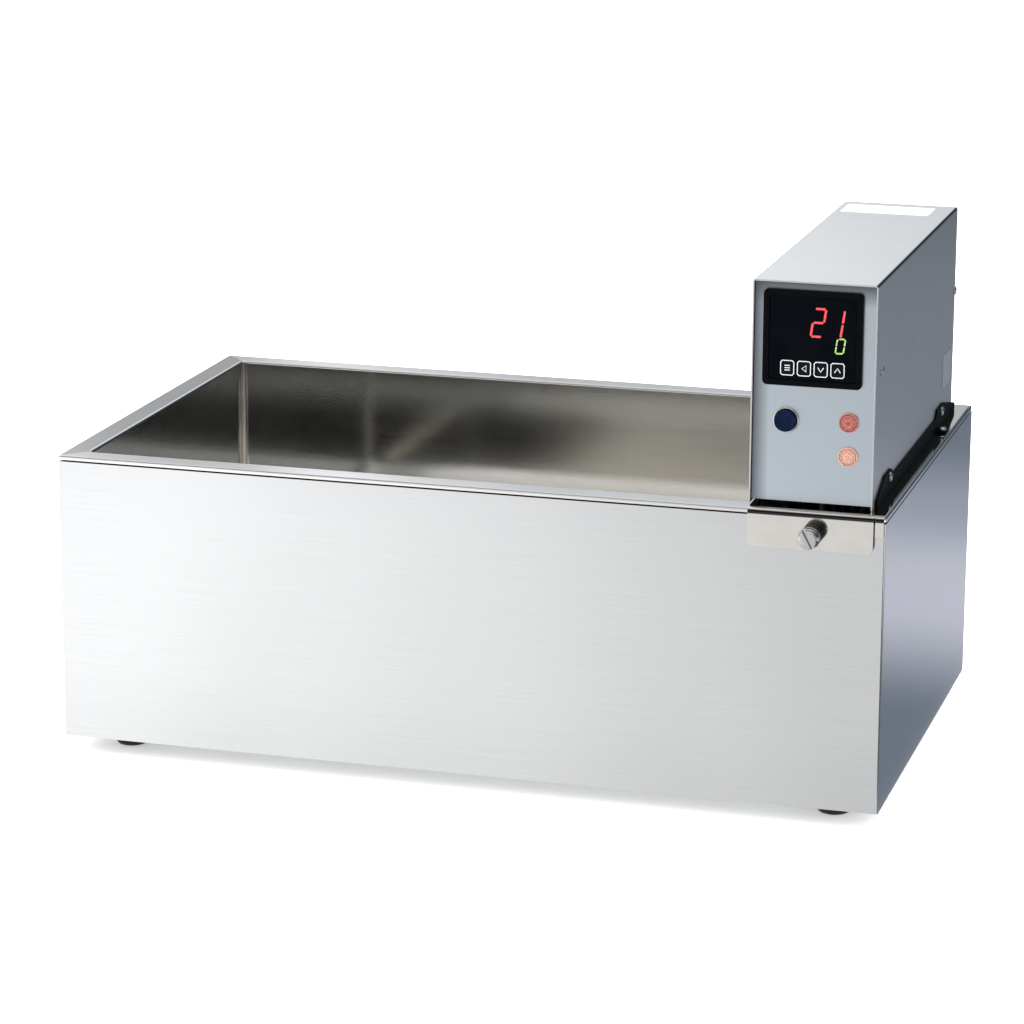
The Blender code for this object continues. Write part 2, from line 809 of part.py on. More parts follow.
def make_rear_panel():
    """The rear panel with its vents, folded forward at both sides."""
    left, right = inner_left + gap, inner_right - gap
    low, high = head_bottom + head_sheet + gap, inner_top - gap
    back = head_back - rear_recess
    panel = block((left, back - head_sheet, low), (right, back, high))
    for side, edge in ((left, left + head_sheet), (right - head_sheet, right)):
        panel = fuse(panel, block((side, back - rear_return, low), (edge, back - gap, high)))
    centre = (head_left + head_right) / 2
    cuts = []
    for number in range(vent_count):
        z = rim_top + vent_rise + number * vent_pitch
        cuts.append(block((centre - vent_width / 2, back - overrun, z),
                          (centre + vent_width / 2, back + overrun, z + vent_height)))
    cuts.append(rod(gland_radius + gap, back - overrun, back + overrun, gland_place, "Y"))
    cuts.append(rod(fuse_radius + gap, back - overrun, back + overrun, fuse_place, "Y"))
    y, z = cover_screw_places[1]
    cuts.append(rod(screw_hole_radius, right - overrun, right + overrun, (0, y, z), "X", small_steps))
    finish(cut(panel, *cuts), "rear_panel", "satin stainless")


def make_plate():
    """The polished plate that carries the head, with its flange down over the front of the bath."""
    bottom = rim_top - flange_drop
    back = max(tank_back + plate_back_overlap, head_back + plate_head_margin)
    profile = [(flange_front + plate_sheet, bottom), (flange_front, bottom)]
    profile += arc(flange_front + plate_sheet, plate_bottom, plate_sheet, 180, 90)
    profile += [(back, plate_top), (back, plate_bottom), (flange_front + plate_sheet, plate_bottom)]
    plate = prism(profile, "X", plate_left, plate_right)
    radius, tab_bottom = flange_corner_radius, rim_top - corner_tab_drop
    front = [(plate_left, plate_top + overrun)]
    front += arc(plate_left + radius, bottom + radius, radius, 180, 270, 4)
    front += arc(flange_right - radius, bottom + radius, radius, 270, 360, 4)
    front += [(flange_right, plate_bottom), (flange_right + flange_slot, plate_bottom)]
    front += arc(flange_right + 2 * flange_slot, tab_bottom + flange_slot, flange_slot, 180, 270)
    front += arc(plate_right - flange_slot, tab_bottom + flange_slot, flange_slot, 270, 360)
    front += [(plate_right, plate_top + overrun)]
    shape = prism(front, "Y", flange_front - overrun, back + overrun)
    combine(plate, [shape], "INTERSECT")
    x, y = rim_screw_place
    cuts = [rod(screw_hole_radius, plate_bottom - overrun, plate_top + overrun, (x, y, 0), "Z", small_steps)]
    cuts.append(rod(bush_radius + gap, flange_front - overrun, flange_front + overrun, clamp_place, "Y"))
    through = (plate_bottom - overrun, plate_top + overrun)
    for x, y in heater_places:
        cuts.append(rod(heater_gland_radius + gap, *through, (x, y, 0)))
    cuts.append(rod(sensor_gland_radius + gap, *through, (*probe_place, 0)))
    cuts.append(rod(level_stem_radius + gap, *through, (*level_place, 0)))
    cuts.append(rod(bush_barrel_radius + gap, *through, (*motor_place, 0)))
    finish(cut(plate, *cuts), "mounting_plate", "polished stainless")


def make_bracket():
    """The black angle along the head's right wall: an upright with two ears, and a tab on the plate."""
    low = plate_top + gap
    start, end = bracket_front, head_back + bracket_end_overhang
    front_ear, rear_ear = start + front_ear_start, rear_ear_front
    top = rim_top + bracket_height
    outline = [(start, low), (end, low), (end, rim_top + bracket_end_height),
               (rear_ear + rear_ear_length, rim_top + ear_height), (rear_ear, rim_top + ear_height),
               (rear_ear - bracket_end_height, top),
               (front_ear + front_ear_length + front_ear_slope, top),
               (front_ear + front_ear_length, rim_top + ear_height), (front_ear, rim_top + ear_height),
               (start, rim_top + bracket_end_height)]
    side = head_right + gap
    upright = prism(outline, "X", side, side + bracket_sheet)
    x, y = rim_screw_place
    tab = block((side + bracket_sheet / 2, y - bracket_tab_width / 2, low),
                (x + screw_head_radius, y + bracket_tab_width / 2, low + bracket_sheet))
    bracket = fuse(upright, tab)
    holes = [rod(screw_hole_radius, head_right - overrun, head_right + overrun, (0, b, c), "X", small_steps)
             for b, c in ear_screw_places]
    holes.append(rod(screw_hole_radius, low - overrun, low + overrun, (x, y, 0), "Z", small_steps))
    finish(cut(bracket, *holes), "side_bracket", "black enamel")
    seat = side + bracket_sheet + face_gap
    for name, (b, c) in zip(("ear_screw_front", "ear_screw_back"), ear_screw_places):
        finish(pan_screw((seat, b, c), "+X"), name, "screw steel")
    for name, (b, c) in zip(("cover_screw_front", "cover_screw_back"), cover_screw_places):
        finish(pan_screw((head_right + face_gap, b, c), "+X"), name, "screw steel")
    rim_screw = pan_screw((x, y, low + bracket_sheet + face_gap), "+Z", rim_screw_length)
    finish(rim_screw, "rim_screw", "screw steel")


def make_clamp():
    """Threaded bush in the flange, the stud that travels through it, and the knob that turns on it."""
    x, _, z = clamp_place
    flange_back = flange_front + plate_sheet
    collar = (flange_back + gap, flange_back + gap + bush_collar)
    bush = turned([(stud_radius + thread_gap, flange_front), (bush_radius, flange_front),
                   (bush_radius, collar[0]), (bush_collar_radius, collar[0]), (bush_collar_radius, collar[1]),
                   (stud_radius + thread_gap, collar[1])], clamp_place, "Y", ring=True)
    finish(bush, "clamp_bush", "screw steel")
    knob_back = flange_front - knob_set_off
    knob_front = knob_back - knob_length
    tip = bath_front - gap
    slide = add_pivot("clamp_travel", (x, tip, z))
    stud = turned([(0, knob_back - stud_grip), (stud_radius, knob_back - stud_grip),
                   (stud_radius, tip - gap), (stud_radius - gap, tip), (0, tip)], clamp_place, "Y")
    finish(stud, "clamp_stud", "screw steel", slide)
    pivot = add_pivot("clamp_turn", (x, knob_front, z))
    edge = knob_edge
    bore = stud_radius + face_gap
    outline = [(0, knob_front), (knob_radius - edge, knob_front), (knob_radius, knob_front + edge),
               (knob_radius, knob_back - edge), (knob_radius - edge, knob_back),
               (bore, knob_back), (bore, knob_back - stud_grip - face_gap),
               (0, knob_back - stud_grip - face_gap)]
    knob = turned(outline, clamp_place, "Y")
    slot = block((x - knob_radius - overrun, knob_front - overrun, z - knob_slot_width / 2),
                 (x + knob_radius + overrun, knob_front + knob_slot_depth, z + knob_slot_width / 2))
    finish(cut(knob, slot), "clamp_knob", "polished chrome", pivot)


def make_bezel():
    """The controller's front frame, round at its corners and eased at its front."""
    low = (bezel_x, bezel_front, bezel_bottom)
    high = (bezel_x + bezel_width, bezel_back, bezel_top)
    frame = rounded_block(low, high, bezel_corner_radius, "Y")
    ease(frame, bezel_edge, lambda centre, normal: centre.y < bezel_front + face_gap)
    border = bezel_border
    opening = rounded_block((low[0] + border, bezel_front - overrun, low[2] + border),
                            (high[0] - border, bezel_back + overrun, high[2] - border),
                            window_corner_radius, "Y")
    finish(cut(frame, opening), "controller_bezel", "black bezel plastic")


def key_corner(number):
    """The low corner of a key, seen from the front."""
    x = bezel_x + bezel_border + key_row_left + number * key_pitch
    return x, bezel_bottom + bezel_border + key_row_rise


def make_window():
    inset = bezel_border + gap
    window = rounded_block((bezel_x + inset, window_front, bezel_bottom + inset),
                           (bezel_x + bezel_width - inset, window_back, bezel_top - inset),
                           window_corner_radius, "Y")
    holes = []
    for number in range(len(key_names)):
        x, z = key_corner(number)
        holes.append(rounded_block((x - gap, window_front - overrun, z - gap),
                                   (x + key_size + gap, window_back + overrun, z + key_height + gap),
                                   key_corner_radius + gap, "Y"))
    finish(cut(window, *holes), "display_window", "smoked acrylic")


def make_keys():
    """Four short-travel keys, each held behind the window by its wider foot."""
    for number, name in enumerate(key_names):
        x, z = key_corner(number)
        front = window_front - key_proud
        cap = rounded_block((x, front, z), (x + key_size, front + key_depth, z + key_height),
                            key_corner_radius, "Y")
        foot_front = window_back + gap
        foot_back = foot_front + display_ledge / 2
        spread = 2 * gap
        foot = block((x - spread, foot_front, z - spread),
                     (x + key_size + spread, foot_back, z + key_height + spread))
        pivot = add_pivot(name + "_travel", (x + key_size / 2, front, z + key_height / 2))
        finish(fuse(cap, foot), name, "black key rubber", pivot)


def make_controller_body():
    """The case behind the bezel, the board with its four key switches, and the light module."""
    inset = controller_inset
    front, back = bezel_back + gap, bezel_back + controller_length
    low = (bezel_x + inset, front, bezel_bottom + inset)
    high = (bezel_x + bezel_width - inset, back, bezel_top - inset)
    case = block(low, high)
    hollow_low = [value + controller_wall for value in low]
    hollow_high = [value - controller_wall for value in high]
    hollow_low[1] = front - overrun
    case = cut(case, block(hollow_low, hollow_high))
    finish(case, "controller_case", "black case plastic")
    board_front = window_front + display_board_set_back
    board = block((hollow_low[0] + gap, board_front, hollow_low[2] + gap),
                  (hollow_high[0] - gap, board_front + display_board_sheet, hollow_high[2] - gap))
    module_right = hollow_high[0] - display_ledge
    module = rounded_block((module_right - module_width, board_front - gap - module_depth,
                            hollow_high[2] - display_ledge - module_height),
                           (module_right, board_front - gap, hollow_high[2] - display_ledge),
                           display_ledge / 2, "Y")
    finish(module, "display_module", "smoked acrylic")
    dome_front = window_back + gap + display_ledge / 2 + key_travel + gap
    for number in range(len(key_names)):
        x, z = key_corner(number)
        centre = (x + key_size / 2, 0, z + key_height / 2)
        board = fuse(board, rod(dome_radius, dome_front, board_front + gap, centre, "Y", small_steps))
    finish(board, "display_board", "circuit board")


def make_power_switch():
    front = face_front - face_gap
    bore = button_radius + gap
    ring_front = front - ring_proud
    ring = turned([(bore, front), (bore, ring_front + ring_edge), (bore + ring_edge, ring_front),
                   (ring_radius - ring_edge, ring_front), (ring_radius, ring_front + ring_edge),
                   (ring_radius, front)], button_place, "Y", ring=True)
    finish(ring, "power_button_ring", "polished chrome")
    stem_back = front + button_stem
    floor = stem_back + button_travel + gap
    barrel = switch_radius
    body = turned([(bore, front + gap), (barrel, front + gap), (barrel, front + switch_length),
                   (0, front + switch_length), (0, floor), (bore, floor)], button_place, "Y", ring=True)
    collar = rod(switch_nut_radius, face_back + gap, face_back + gap + switch_nut, button_place, "Y",
                 steps=6)
    collar = cut(collar, rod(bore, front, front + switch_length - gap, button_place, "Y"))
    finish(fuse(body, collar), "power_switch_body", "black case plastic")
    top = front - button_proud
    pivot = add_pivot("power_button_travel", (button_place[0], top, button_place[2]))
    outline = [(0, top)]
    outline += [(button_radius * wide, top + button_crown * deep) for wide, deep in button_crown_shares]
    outline += [(button_radius, stem_back), (0, stem_back)]
    finish(turned(outline, button_place, "Y"), "power_button", "navy plastic", pivot)


def make_lamp(name, place, colour):
    """A domed lens in front of the panel, and its holder behind it."""
    front = face_front - face_gap
    top = front - lens_rim - lens_crown
    outline = [(0, top)]
    outline += [(lens_radius * wide, top + lens_crown * deep) for wide, deep in lens_dome_shares]
    outline += [(lens_radius, front), (lens_stem_radius, front), (lens_stem_radius, front + lens_stem),
                (0, front + lens_stem)]
    finish(turned(outline, place, "Y"), name + "_lens", colour)
    low, high = face_back + gap, face_back + holder_length
    stem_end = front + lens_stem + gap
    bore = lens_stem_radius + gap
    holder = turned([(bore, low), (holder_radius, low), (holder_radius, high), (0, high), (0, stem_end),
                     (bore, stem_end)], place, "Y", ring=True)
    finish(holder, name + "_holder", "black case plastic")


def make_rear_fittings():
    """The cord's strain-relief gland, and the fuse holder with its cap."""
    back = head_back - rear_recess
    outer = back + face_gap
    gland_nose = gland_collar_radius * gland_nose_share
    gland = turned([(gland_bore_radius, outer + gland_proud), (gland_nose, outer + gland_proud),
                    (gland_collar_radius, outer + gland_collar), (gland_collar_radius, outer),
                    (gland_radius, outer), (gland_radius, back - head_sheet - gland_collar),
                    (gland_bore_radius, back - head_sheet - gland_collar)], gland_place, "Y", ring=True)
    finish(gland, "cord_gland", "black case plastic")
    fuse = turned([(0, outer + fuse_cap), (fuse_cap_radius * fuse_nose_share, outer + fuse_cap),
                   (fuse_cap_radius, outer + fuse_cap / 2), (fuse_cap_radius, outer), (fuse_radius, outer),
                   (fuse_radius, back - fuse_length), (0, back - fuse_length)], fuse_place, "Y")
    finish(fuse, "fuse_holder", "black case plastic")


def make_rating_plate():
    """The blank rating plate on the right wall."""
    low_y = head_back - rating_from_back - rating_width
    low_z = rim_top + rating_rise
    plate = rounded_block((head_right + face_gap, low_y, low_z),
                          (head_right + face_gap + rating_sheet, low_y + rating_width, low_z + rating_height),
                          rating_sheet * 2, "X")
    finish(plate, "rating_plate", "blank foil")


def make_heater():
    """A bent tube: down from one gland, back along the floor, round, and up to the other gland."""
    top = plate_top + heater_gland_collar + heater_gland_top
    depth = tank_floor + heater_floor_gap
    (x0, y0), (x1, _) = heater_places
    y_end = bath_front + heater_back
    route = [(x0, y0, top), (x0, y0, depth), (x0, y_end, depth),
             (x1, y_end, depth), (x1, y0, depth), (x1, y0, top)]
    element = tube(bent_path(route, heater_bend_radius), heater_radius)
    pins = [rod(heater_pin_radius, top - overrun, top + heater_pin, (x, y, 0), "Z", small_steps)
            for x, y in heater_places]
    finish(fuse(element, *pins), "heater_element", "heater steel")
    high, low = plate_top + gap + heater_gland_collar, plate_bottom - heater_gland_collar
    bore = heater_radius + gap
    collar = heater_gland_collar_radius
    outline = [(bore, high), (collar, high), (collar, plate_top + gap),
               (heater_gland_radius, plate_top + gap), (heater_gland_radius, low), (bore, low)]
    for name, (x, y) in zip(("heater_gland_left", "heater_gland_right"), heater_places):
        finish(turned(outline, (x, y, 0), steps=small_steps, ring=True), name, "brass")


def make_probe():
    """The temperature probe, and the gland that holds it in the plate."""
    x, y = probe_place
    low, high = plate_bottom - probe_length, plate_top + probe_top
    outline = [(0, low), (probe_radius / 2, low), (probe_radius, low + probe_radius), (probe_radius, high),
               (0, high)]
    finish(turned(outline, (x, y, 0), steps=small_steps), "temperature_probe", "heater steel")
    bore = probe_radius + gap
    gland = turned([(bore, plate_top + sensor_collar), (sensor_collar_radius, plate_top + sensor_collar),
                    (sensor_collar_radius, plate_top + gap), (sensor_gland_radius, plate_top + gap),
                    (sensor_gland_radius, plate_bottom - sensor_bottom_collar),
                    (bore, plate_bottom - sensor_bottom_collar)], (x, y, 0), steps=small_steps, ring=True)
    finish(gland, "probe_gland", "brass")


def make_level_switch():
    """A stem with an upper stop, the clip below, and the float that slides between them."""
    x, y = level_place
    centre = (x, y, 0)
    low, high = plate_bottom - level_length, plate_top + level_top
    stop_low = low + face_gap
    float_low = stop_low + stop_height + gap
    upper = float_low + float_height + float_travel + gap
    outline = [(0, low), (level_stem_radius, low), (level_stem_radius, upper), (stop_radius, upper),
               (stop_radius, upper + stop_height), (level_stem_radius, upper + stop_height),
               (level_stem_radius, plate_top + gap), (level_collar_radius, plate_top + gap),
               (level_collar_radius, high), (0, high)]
    finish(turned(outline, centre), "level_switch_stem", "heater steel")
    bore = level_stem_radius + running_gap
    stop = turned([(bore, stop_low), (stop_radius, stop_low), (stop_radius, stop_low + stop_height),
                   (bore, stop_low + stop_height)], centre, ring=True)
    finish(stop, "float_stop", "white nylon")
    pivot = add_pivot("float_travel", (x, y, float_low))
    edge = float_edge
    float_high = float_low + float_height
    body = turned([(float_bore_radius, float_low), (float_radius - edge, float_low),
                   (float_radius, float_low + edge), (float_radius, float_high - edge),
                   (float_radius - edge, float_high), (float_bore_radius, float_high)], centre, ring=True)
    finish(body, "level_float", "white nylon", pivot)


def make_stirrer():
    """The motor on its four legs, the bush in the plate, and the turning shaft with its impeller."""
    x, y = motor_place
    centre = (x, y, 0)
    base = plate_top + gap + motor_lift
    body_low = base + gap + motor_boss
    high = body_low + motor_height
    bore = shaft_radius + running_gap
    socket_top = body_low + shaft_socket
    shoulder = high - motor_edge
    motor = turned([(bore, body_low - motor_boss), (motor_boss_radius, body_low - motor_boss),
                    (motor_boss_radius, body_low), (motor_radius, body_low), (motor_radius, shoulder),
                    (motor_radius - motor_edge, high), (0, high), (0, socket_top), (bore, socket_top)], centre,
                   ring=True)
    posts = [rod(motor_foot_radius, plate_top + gap, body_low + gap, (a, b, 0), steps=small_steps)
             for a, b in motor_foot_places]
    finish(fuse(motor, *posts), "stirrer_motor", "motor steel")
    flange_top = plate_top + gap + bush_flange
    bush = turned([(bore, flange_top), (bush_flange_radius, flange_top),
                   (bush_flange_radius, plate_top + gap), (bush_barrel_radius, plate_top + gap),
                   (bush_barrel_radius, plate_bottom - bush_barrel), (bore, plate_bottom - bush_barrel)],
                  centre, ring=True)
    finish(bush, "shaft_bush", "white nylon")
    low = plate_bottom - shaft_length
    pivot = add_pivot("stirrer_turn", (x, y, low))
    shaft_top = socket_top - gap
    shaft = rod(shaft_radius, low, shaft_top, centre)
    finish(shaft, "stirrer_shaft", "heater steel", pivot)
    hub_low = low + gap
    hub = rod(impeller_hub_radius, hub_low, hub_low + impeller_hub, centre)
    middle = hub_low + impeller_hub / 2
    for number in range(impeller_blades):
        blade = block((impeller_hub_radius * blade_root_share, -blade_sheet / 2, -blade_height / 2),
                      (impeller_radius, blade_sheet / 2, blade_height / 2))
        turn = Matrix.Rotation(2 * math.pi * number / impeller_blades, 4, "Z")
        pitch = Matrix.Rotation(blade_pitch, 4, "X")
        blade.data.transform(Matrix.Translation((x, y, middle)) @ turn @ pitch)
        hub = fuse(hub, blade)
    hub = cut(hub, rod(bore, hub_low - overrun, hub_low + impeller_hub + overrun, centre))
    finish(hub, "stirrer_impeller", "heater steel", pivot)


def make_circuit_board():
    """A board beside the left wall, on the four pressed-in stand-offs of its angle."""
    left = inner_left + head_bottom_return + gap
    low_y = bath_front + board_back
    low_z = plate_top + gap
    sheet = board_bracket_sheet
    top = rim_top + board_rise + board_height
    angle = block((left, low_y, low_z), (left + sheet, low_y + board_length, top))
    foot = block((left, low_y, low_z), (left + board_foot, low_y + board_length, low_z + sheet))
    face = left + sheet + stand_off_length
    board_low = rim_top + board_rise
    board = block((face, low_y, board_low), (face + board_sheet, low_y + board_length, top))
    finish(board, "circuit_board", "circuit board")
    angle = fuse(angle, foot)
    for y in (low_y + stand_off_inset, low_y + board_length - stand_off_inset):
        for z in (board_low + stand_off_inset, top - stand_off_inset):
            angle = fuse(angle, rod(stand_off_radius, left + gap, face - gap, (0, y, z), "X", small_steps))
    finish(angle, "board_bracket", "galvanised steel")


def make_relay():
    """The heater's relay on its finned heat sink."""
    x, y = relay_low
    low = plate_top + gap
    base_low = low + sink_fin
    sink = block((x, y, base_low), (x + relay_width, y + relay_length, base_low + sink_base))
    pitch = (relay_width - sink_fin_sheet) / (sink_fins - 1)
    for number in range(sink_fins):
        start = x + number * pitch
        sink = fuse(sink, block((start, y, low), (start + sink_fin_sheet, y + relay_length, base_low + gap)))
    finish(sink, "relay_heat_sink", "anodised aluminium")
    seat = base_low + sink_base + gap
    relay = rounded_block((x + sink_base / 2, y + sink_base / 2, seat),
                          (x + relay_width - sink_base / 2, y + relay_length - sink_base / 2,
                           seat + relay_height), sink_fin_sheet, "Z", sink_fin_sheet / 2)
    finish(relay, "heater_relay", "black case plastic")


def make_supply():
    """The transformer: coil, core and mounting feet in one body."""
    x, y = supply_low
    low = plate_top + gap
    edge = supply_coil_edge
    core = block((x, y + edge, low), (x + supply_width, y + supply_length - edge, low + supply_height))
    coil = block((x + edge, y, low + edge), (x + supply_width - edge, y + supply_length,
                                             low + supply_height - edge))
    foot = block((x - supply_foot_reach, y + edge, low),
                 (x + supply_foot_reach, y + supply_length - edge, low + supply_foot))
    finish(fuse(core, coil, foot), "transformer", "motor steel")
    x = head_left + terminal_left
    high_y = head_back - terminal_from_back
    body = block((x, high_y - terminal_length, low), (x + terminal_width, high_y, low + terminal_height))
    pitch = terminal_width / terminal_ways
    wells = []
    for number in range(terminal_ways):
        centre = (x + (number + 1 / 2) * pitch, high_y - terminal_length / 2, 0)
        wells.append(rod(terminal_well, low + terminal_height / 2, low + terminal_height + overrun, centre,
                         steps=small_steps))
    finish(cut(body, *wells), "terminal_block", "white nylon")


clear_scene()
materials = {
    "brushed stainless": make_material("brushed stainless", (0.62, 0.64, 0.66), 1.0, 0.28),
    "satin stainless": make_material("satin stainless", (0.55, 0.6, 0.65), 1.0, 0.4),
    "polished stainless": make_material("polished stainless", (0.68, 0.67, 0.64), 1.0, 0.12),
    "polished chrome": make_material("polished chrome", (0.75, 0.75, 0.77), 1.0, 0.08),
    "screw steel": make_material("screw steel", (0.6, 0.6, 0.62), 1.0, 0.25),
    "galvanised steel": make_material("galvanised steel", (0.5, 0.52, 0.54), 0.9, 0.5),
    "motor steel": make_material("motor steel", (0.3, 0.31, 0.33), 0.8, 0.45),
    "heater steel": make_material("heater steel", (0.55, 0.55, 0.53), 1.0, 0.3),
    "anodised aluminium": make_material("anodised aluminium", (0.6, 0.6, 0.62), 1.0, 0.4),
    "brass": make_material("brass", (0.7, 0.52, 0.2), 1.0, 0.3),
    "black rubber": make_material("black rubber", (0.02, 0.02, 0.02), 0.0, 0.8),
    "black key rubber": make_material("black key rubber", (0.025, 0.027, 0.03), 0.0, 0.5),
    "mineral wool": make_material("mineral wool", (0.6, 0.55, 0.35), 0.0, 0.95),
    "black enamel": make_material("black enamel", (0.012, 0.014, 0.018), 0.0, 0.3),
    "black bezel plastic": make_material("black bezel plastic", (0.012, 0.015, 0.016), 0.0, 0.35),
    "black case plastic": make_material("black case plastic", (0.02, 0.02, 0.02), 0.0, 0.5),
    "smoked acrylic": make_material("smoked acrylic", (0.005, 0.006, 0.01), 0.0, 0.1),
    "circuit board": make_material("circuit board", (0.02, 0.16, 0.06), 0.0, 0.4),
    "navy plastic": make_material("navy plastic", (0.006, 0.013, 0.05), 0.0, 0.25),
    "red lens": make_material("red lens", (0.6, 0.06, 0.04), 0.0, 0.15),
    "orange lens": make_material("orange lens", (0.85, 0.35, 0.2), 0.0, 0.15),
    "white nylon": make_material("white nylon", (0.8, 0.8, 0.77), 0.0, 0.5),
    "blank foil": make_material("blank foil", (0.5, 0.53, 0.56), 1.0, 0.35),
}
make_casing()
make_back_panel()
base_bottom = make_base()
make_feet(base_bottom)
make_tank()
make_seal()
make_insulation(base_bottom)
make_cover()
make_face()
make_rear_panel()
make_plate()
make_bracket()
make_clamp()
make_bezel()
make_window()
make_keys()
make_controller_body()
make_power_switch()
make_lamp("level_lamp", level_lamp_place, "red lens")
make_lamp("output_lamp", output_lamp_place, "orange lens")
make_rear_fittings()
make_rating_plate()
make_heater()
make_probe()
make_level_switch()
make_stirrer()
make_circuit_board()
make_relay()
make_supply()
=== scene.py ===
import math

import bmesh
import bpy
from bpy.props import FloatProperty, FloatVectorProperty, IntProperty, PointerProperty, StringProperty
from mathutils import Matrix, Vector


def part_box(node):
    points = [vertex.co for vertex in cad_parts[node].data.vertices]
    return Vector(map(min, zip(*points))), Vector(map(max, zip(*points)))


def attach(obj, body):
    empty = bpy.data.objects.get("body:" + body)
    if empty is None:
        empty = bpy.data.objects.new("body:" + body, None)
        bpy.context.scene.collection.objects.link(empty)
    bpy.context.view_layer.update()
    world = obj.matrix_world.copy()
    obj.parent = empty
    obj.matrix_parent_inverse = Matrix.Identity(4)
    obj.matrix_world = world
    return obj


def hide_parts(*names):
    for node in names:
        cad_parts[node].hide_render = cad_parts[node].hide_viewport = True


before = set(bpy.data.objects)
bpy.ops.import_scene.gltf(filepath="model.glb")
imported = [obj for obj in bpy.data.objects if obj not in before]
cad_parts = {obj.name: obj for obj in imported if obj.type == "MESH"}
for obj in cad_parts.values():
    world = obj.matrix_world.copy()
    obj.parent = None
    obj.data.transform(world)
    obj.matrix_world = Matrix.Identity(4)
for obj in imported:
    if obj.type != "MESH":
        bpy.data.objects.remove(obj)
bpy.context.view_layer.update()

bl_info = {
    "name": "Laboratory water bath",
    "version": (1, 0, 0),
    "blender": (4, 5, 0),
    "location": "3D View > Sidebar > Water Bath",
    "description": "Dresses a stirred water bath with a lift-off control head, and lights it for a catalogue picture",
    "category": "Object",
}

MM = 0.001
X, Y, Z, FRONT = (1, 0, 0), (0, 1, 0), (0, 0, 1), (0, -1, 0)


def place(name):
    """The middle of a CAD node's box, with its lowest and highest corners."""
    low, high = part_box(name)
    return (low + high) / 2, low, high


# ---------------------------------------------------------------- material tools

NOISE_RANGE = {"From Min": 0.3, "From Max": 0.7}    # where nearly all values of a noise lie
SMUDGE_SIZE = 90 * MM                               # width of the faint cloudy marks that wiping leaves


def rgb(code):
    """An sRGB hex code such as '9aa0a6' as Blender's linear colour."""
    parts = [int(code[i:i + 2], 16) / 255 for i in (0, 2, 4)]
    return tuple(p / 12.92 if p <= 0.04045 else ((p + 0.055) / 1.055) ** 2.4 for p in parts) + (1.0,)


def feed(tree, node, sockets):
    """Set a node's sockets to values, or link them to the sockets or nodes that feed them."""
    for socket, value in sockets.items():
        if isinstance(value, bpy.types.Node):
            value = next(output for output in value.outputs if output.enabled)
        if isinstance(value, bpy.types.NodeSocket):
            tree.links.new(value, node.inputs[socket])
        else:
            node.inputs[socket].default_value = value


def add(tree, kind, sockets=None, stops=(), curve="LINEAR", **settings):
    """Add one node: settings are its own fields, sockets what feeds it, stops and curve the colours of a ramp."""
    node = tree.nodes.new("ShaderNode" + kind)
    for field, value in settings.items():
        setattr(node, field, value)
    if stops:
        ramp = node.color_ramp
        ramp.interpolation = curve
        while len(ramp.elements) < len(stops):
            ramp.elements.new(0.5)
        for point, (spot, colour) in zip(ramp.elements, stops):
            point.position, point.color = spot, colour
    feed(tree, node, sockets or {})
    return node


def blank(name, **values):
    """A new material with only its Principled shader, whose sockets take the values."""
    material = bpy.data.materials.new(name)
    material.use_nodes = True
    tree = material.node_tree
    shader = tree.nodes["Principled BSDF"]
    feed(tree, shader, {socket.replace("_", " "): value for socket, value in values.items()})
    return material, tree, shader


def grains(tree, size, stretch=(1, 1, 1), detail=2.0):
    """A noise on Object coordinates whose grains are size metres wide, longer where stretch is more than 1."""
    where = add(tree, "TexCoord").outputs["Object"]
    spot = add(tree, "Mapping", {"Vector": where, "Scale": tuple(1 / (size * s) for s in stretch)})
    return add(tree, "TexNoise", {"Vector": spot, "Scale": 1.0, "Detail": detail, "Roughness": 0.6})


def progress(tree, where, way, low, high):
    """How far a place has come from low to high along a direction, as 0 to 1."""
    along = add(tree, "VectorMath", {0: where, 1: way}, operation="DOT_PRODUCT")
    return add(tree, "MapRange", {"Value": along, "From Min": low, "From Max": high})


def zone(tree, *edges):
    """A mask that is 1 past every edge: each is a direction, and how far along it the mask is 0 and 1."""
    where, mask = add(tree, "TexCoord").outputs["Object"], 1.0
    for edge in edges:
        mask = add(tree, "Math", {0: mask, 1: progress(tree, where, *edge)}, operation="MULTIPLY")
    return mask


def surface(name, first, second, smooth, rough, grain, stretch=(1, 1, 1), height=0.0, detail=2.0, smudge=0.0,
            **values):
    """A finish with a grain of real size: two colours, a range of roughness, and a relief, in millimetres."""
    material, tree, shader = blank(name, **values)
    pattern = grains(tree, grain * MM, stretch, detail)
    gloss = smooth
    if rough != smooth:
        gloss = add(tree, "MapRange", {"Value": pattern, "To Min": smooth, "To Max": rough, **NOISE_RANGE})
    if smudge:
        cloud = add(tree, "MapRange", {"Value": grains(tree, SMUDGE_SIZE, detail=3.0), "To Min": -smudge,
                                       "To Max": smudge, **NOISE_RANGE})
        gloss = add(tree, "Math", {0: gloss, 1: cloud}, operation="ADD")
    colour = add(tree, "ValToRGB", {"Fac": pattern}, [(0.35, rgb(first)), (0.65, rgb(second))])
    feed(tree, shader, {"Base Color": colour, "Roughness": gloss})
    if height:
        feed(tree, shader, {"Normal": add(tree, "Bump", {"Height": pattern, "Distance": height * MM})})
    return material


def dress(material, mask, colour, inside=True, rougher=0.0):
    """Show another colour where a mask is 1, or outside it, and a rougher surface inside it."""
    tree = material.node_tree
    shader = tree.nodes["Principled BSDF"]
    plain, gloss = (shader.inputs[socket].links[0].from_socket for socket in ("Base Color", "Roughness"))
    first, second = (plain, colour) if inside else (colour, plain)
    feed(tree, shader, {"Base Color": add(tree, "Mix", {"Factor": mask, "A": first, "B": second}, data_type="RGBA")})
    if rougher:
        feed(tree, shader, {"Roughness": add(tree, "Math", {0: mask, 1: rougher, 2: gloss},
                                             operation="MULTIPLY_ADD")})


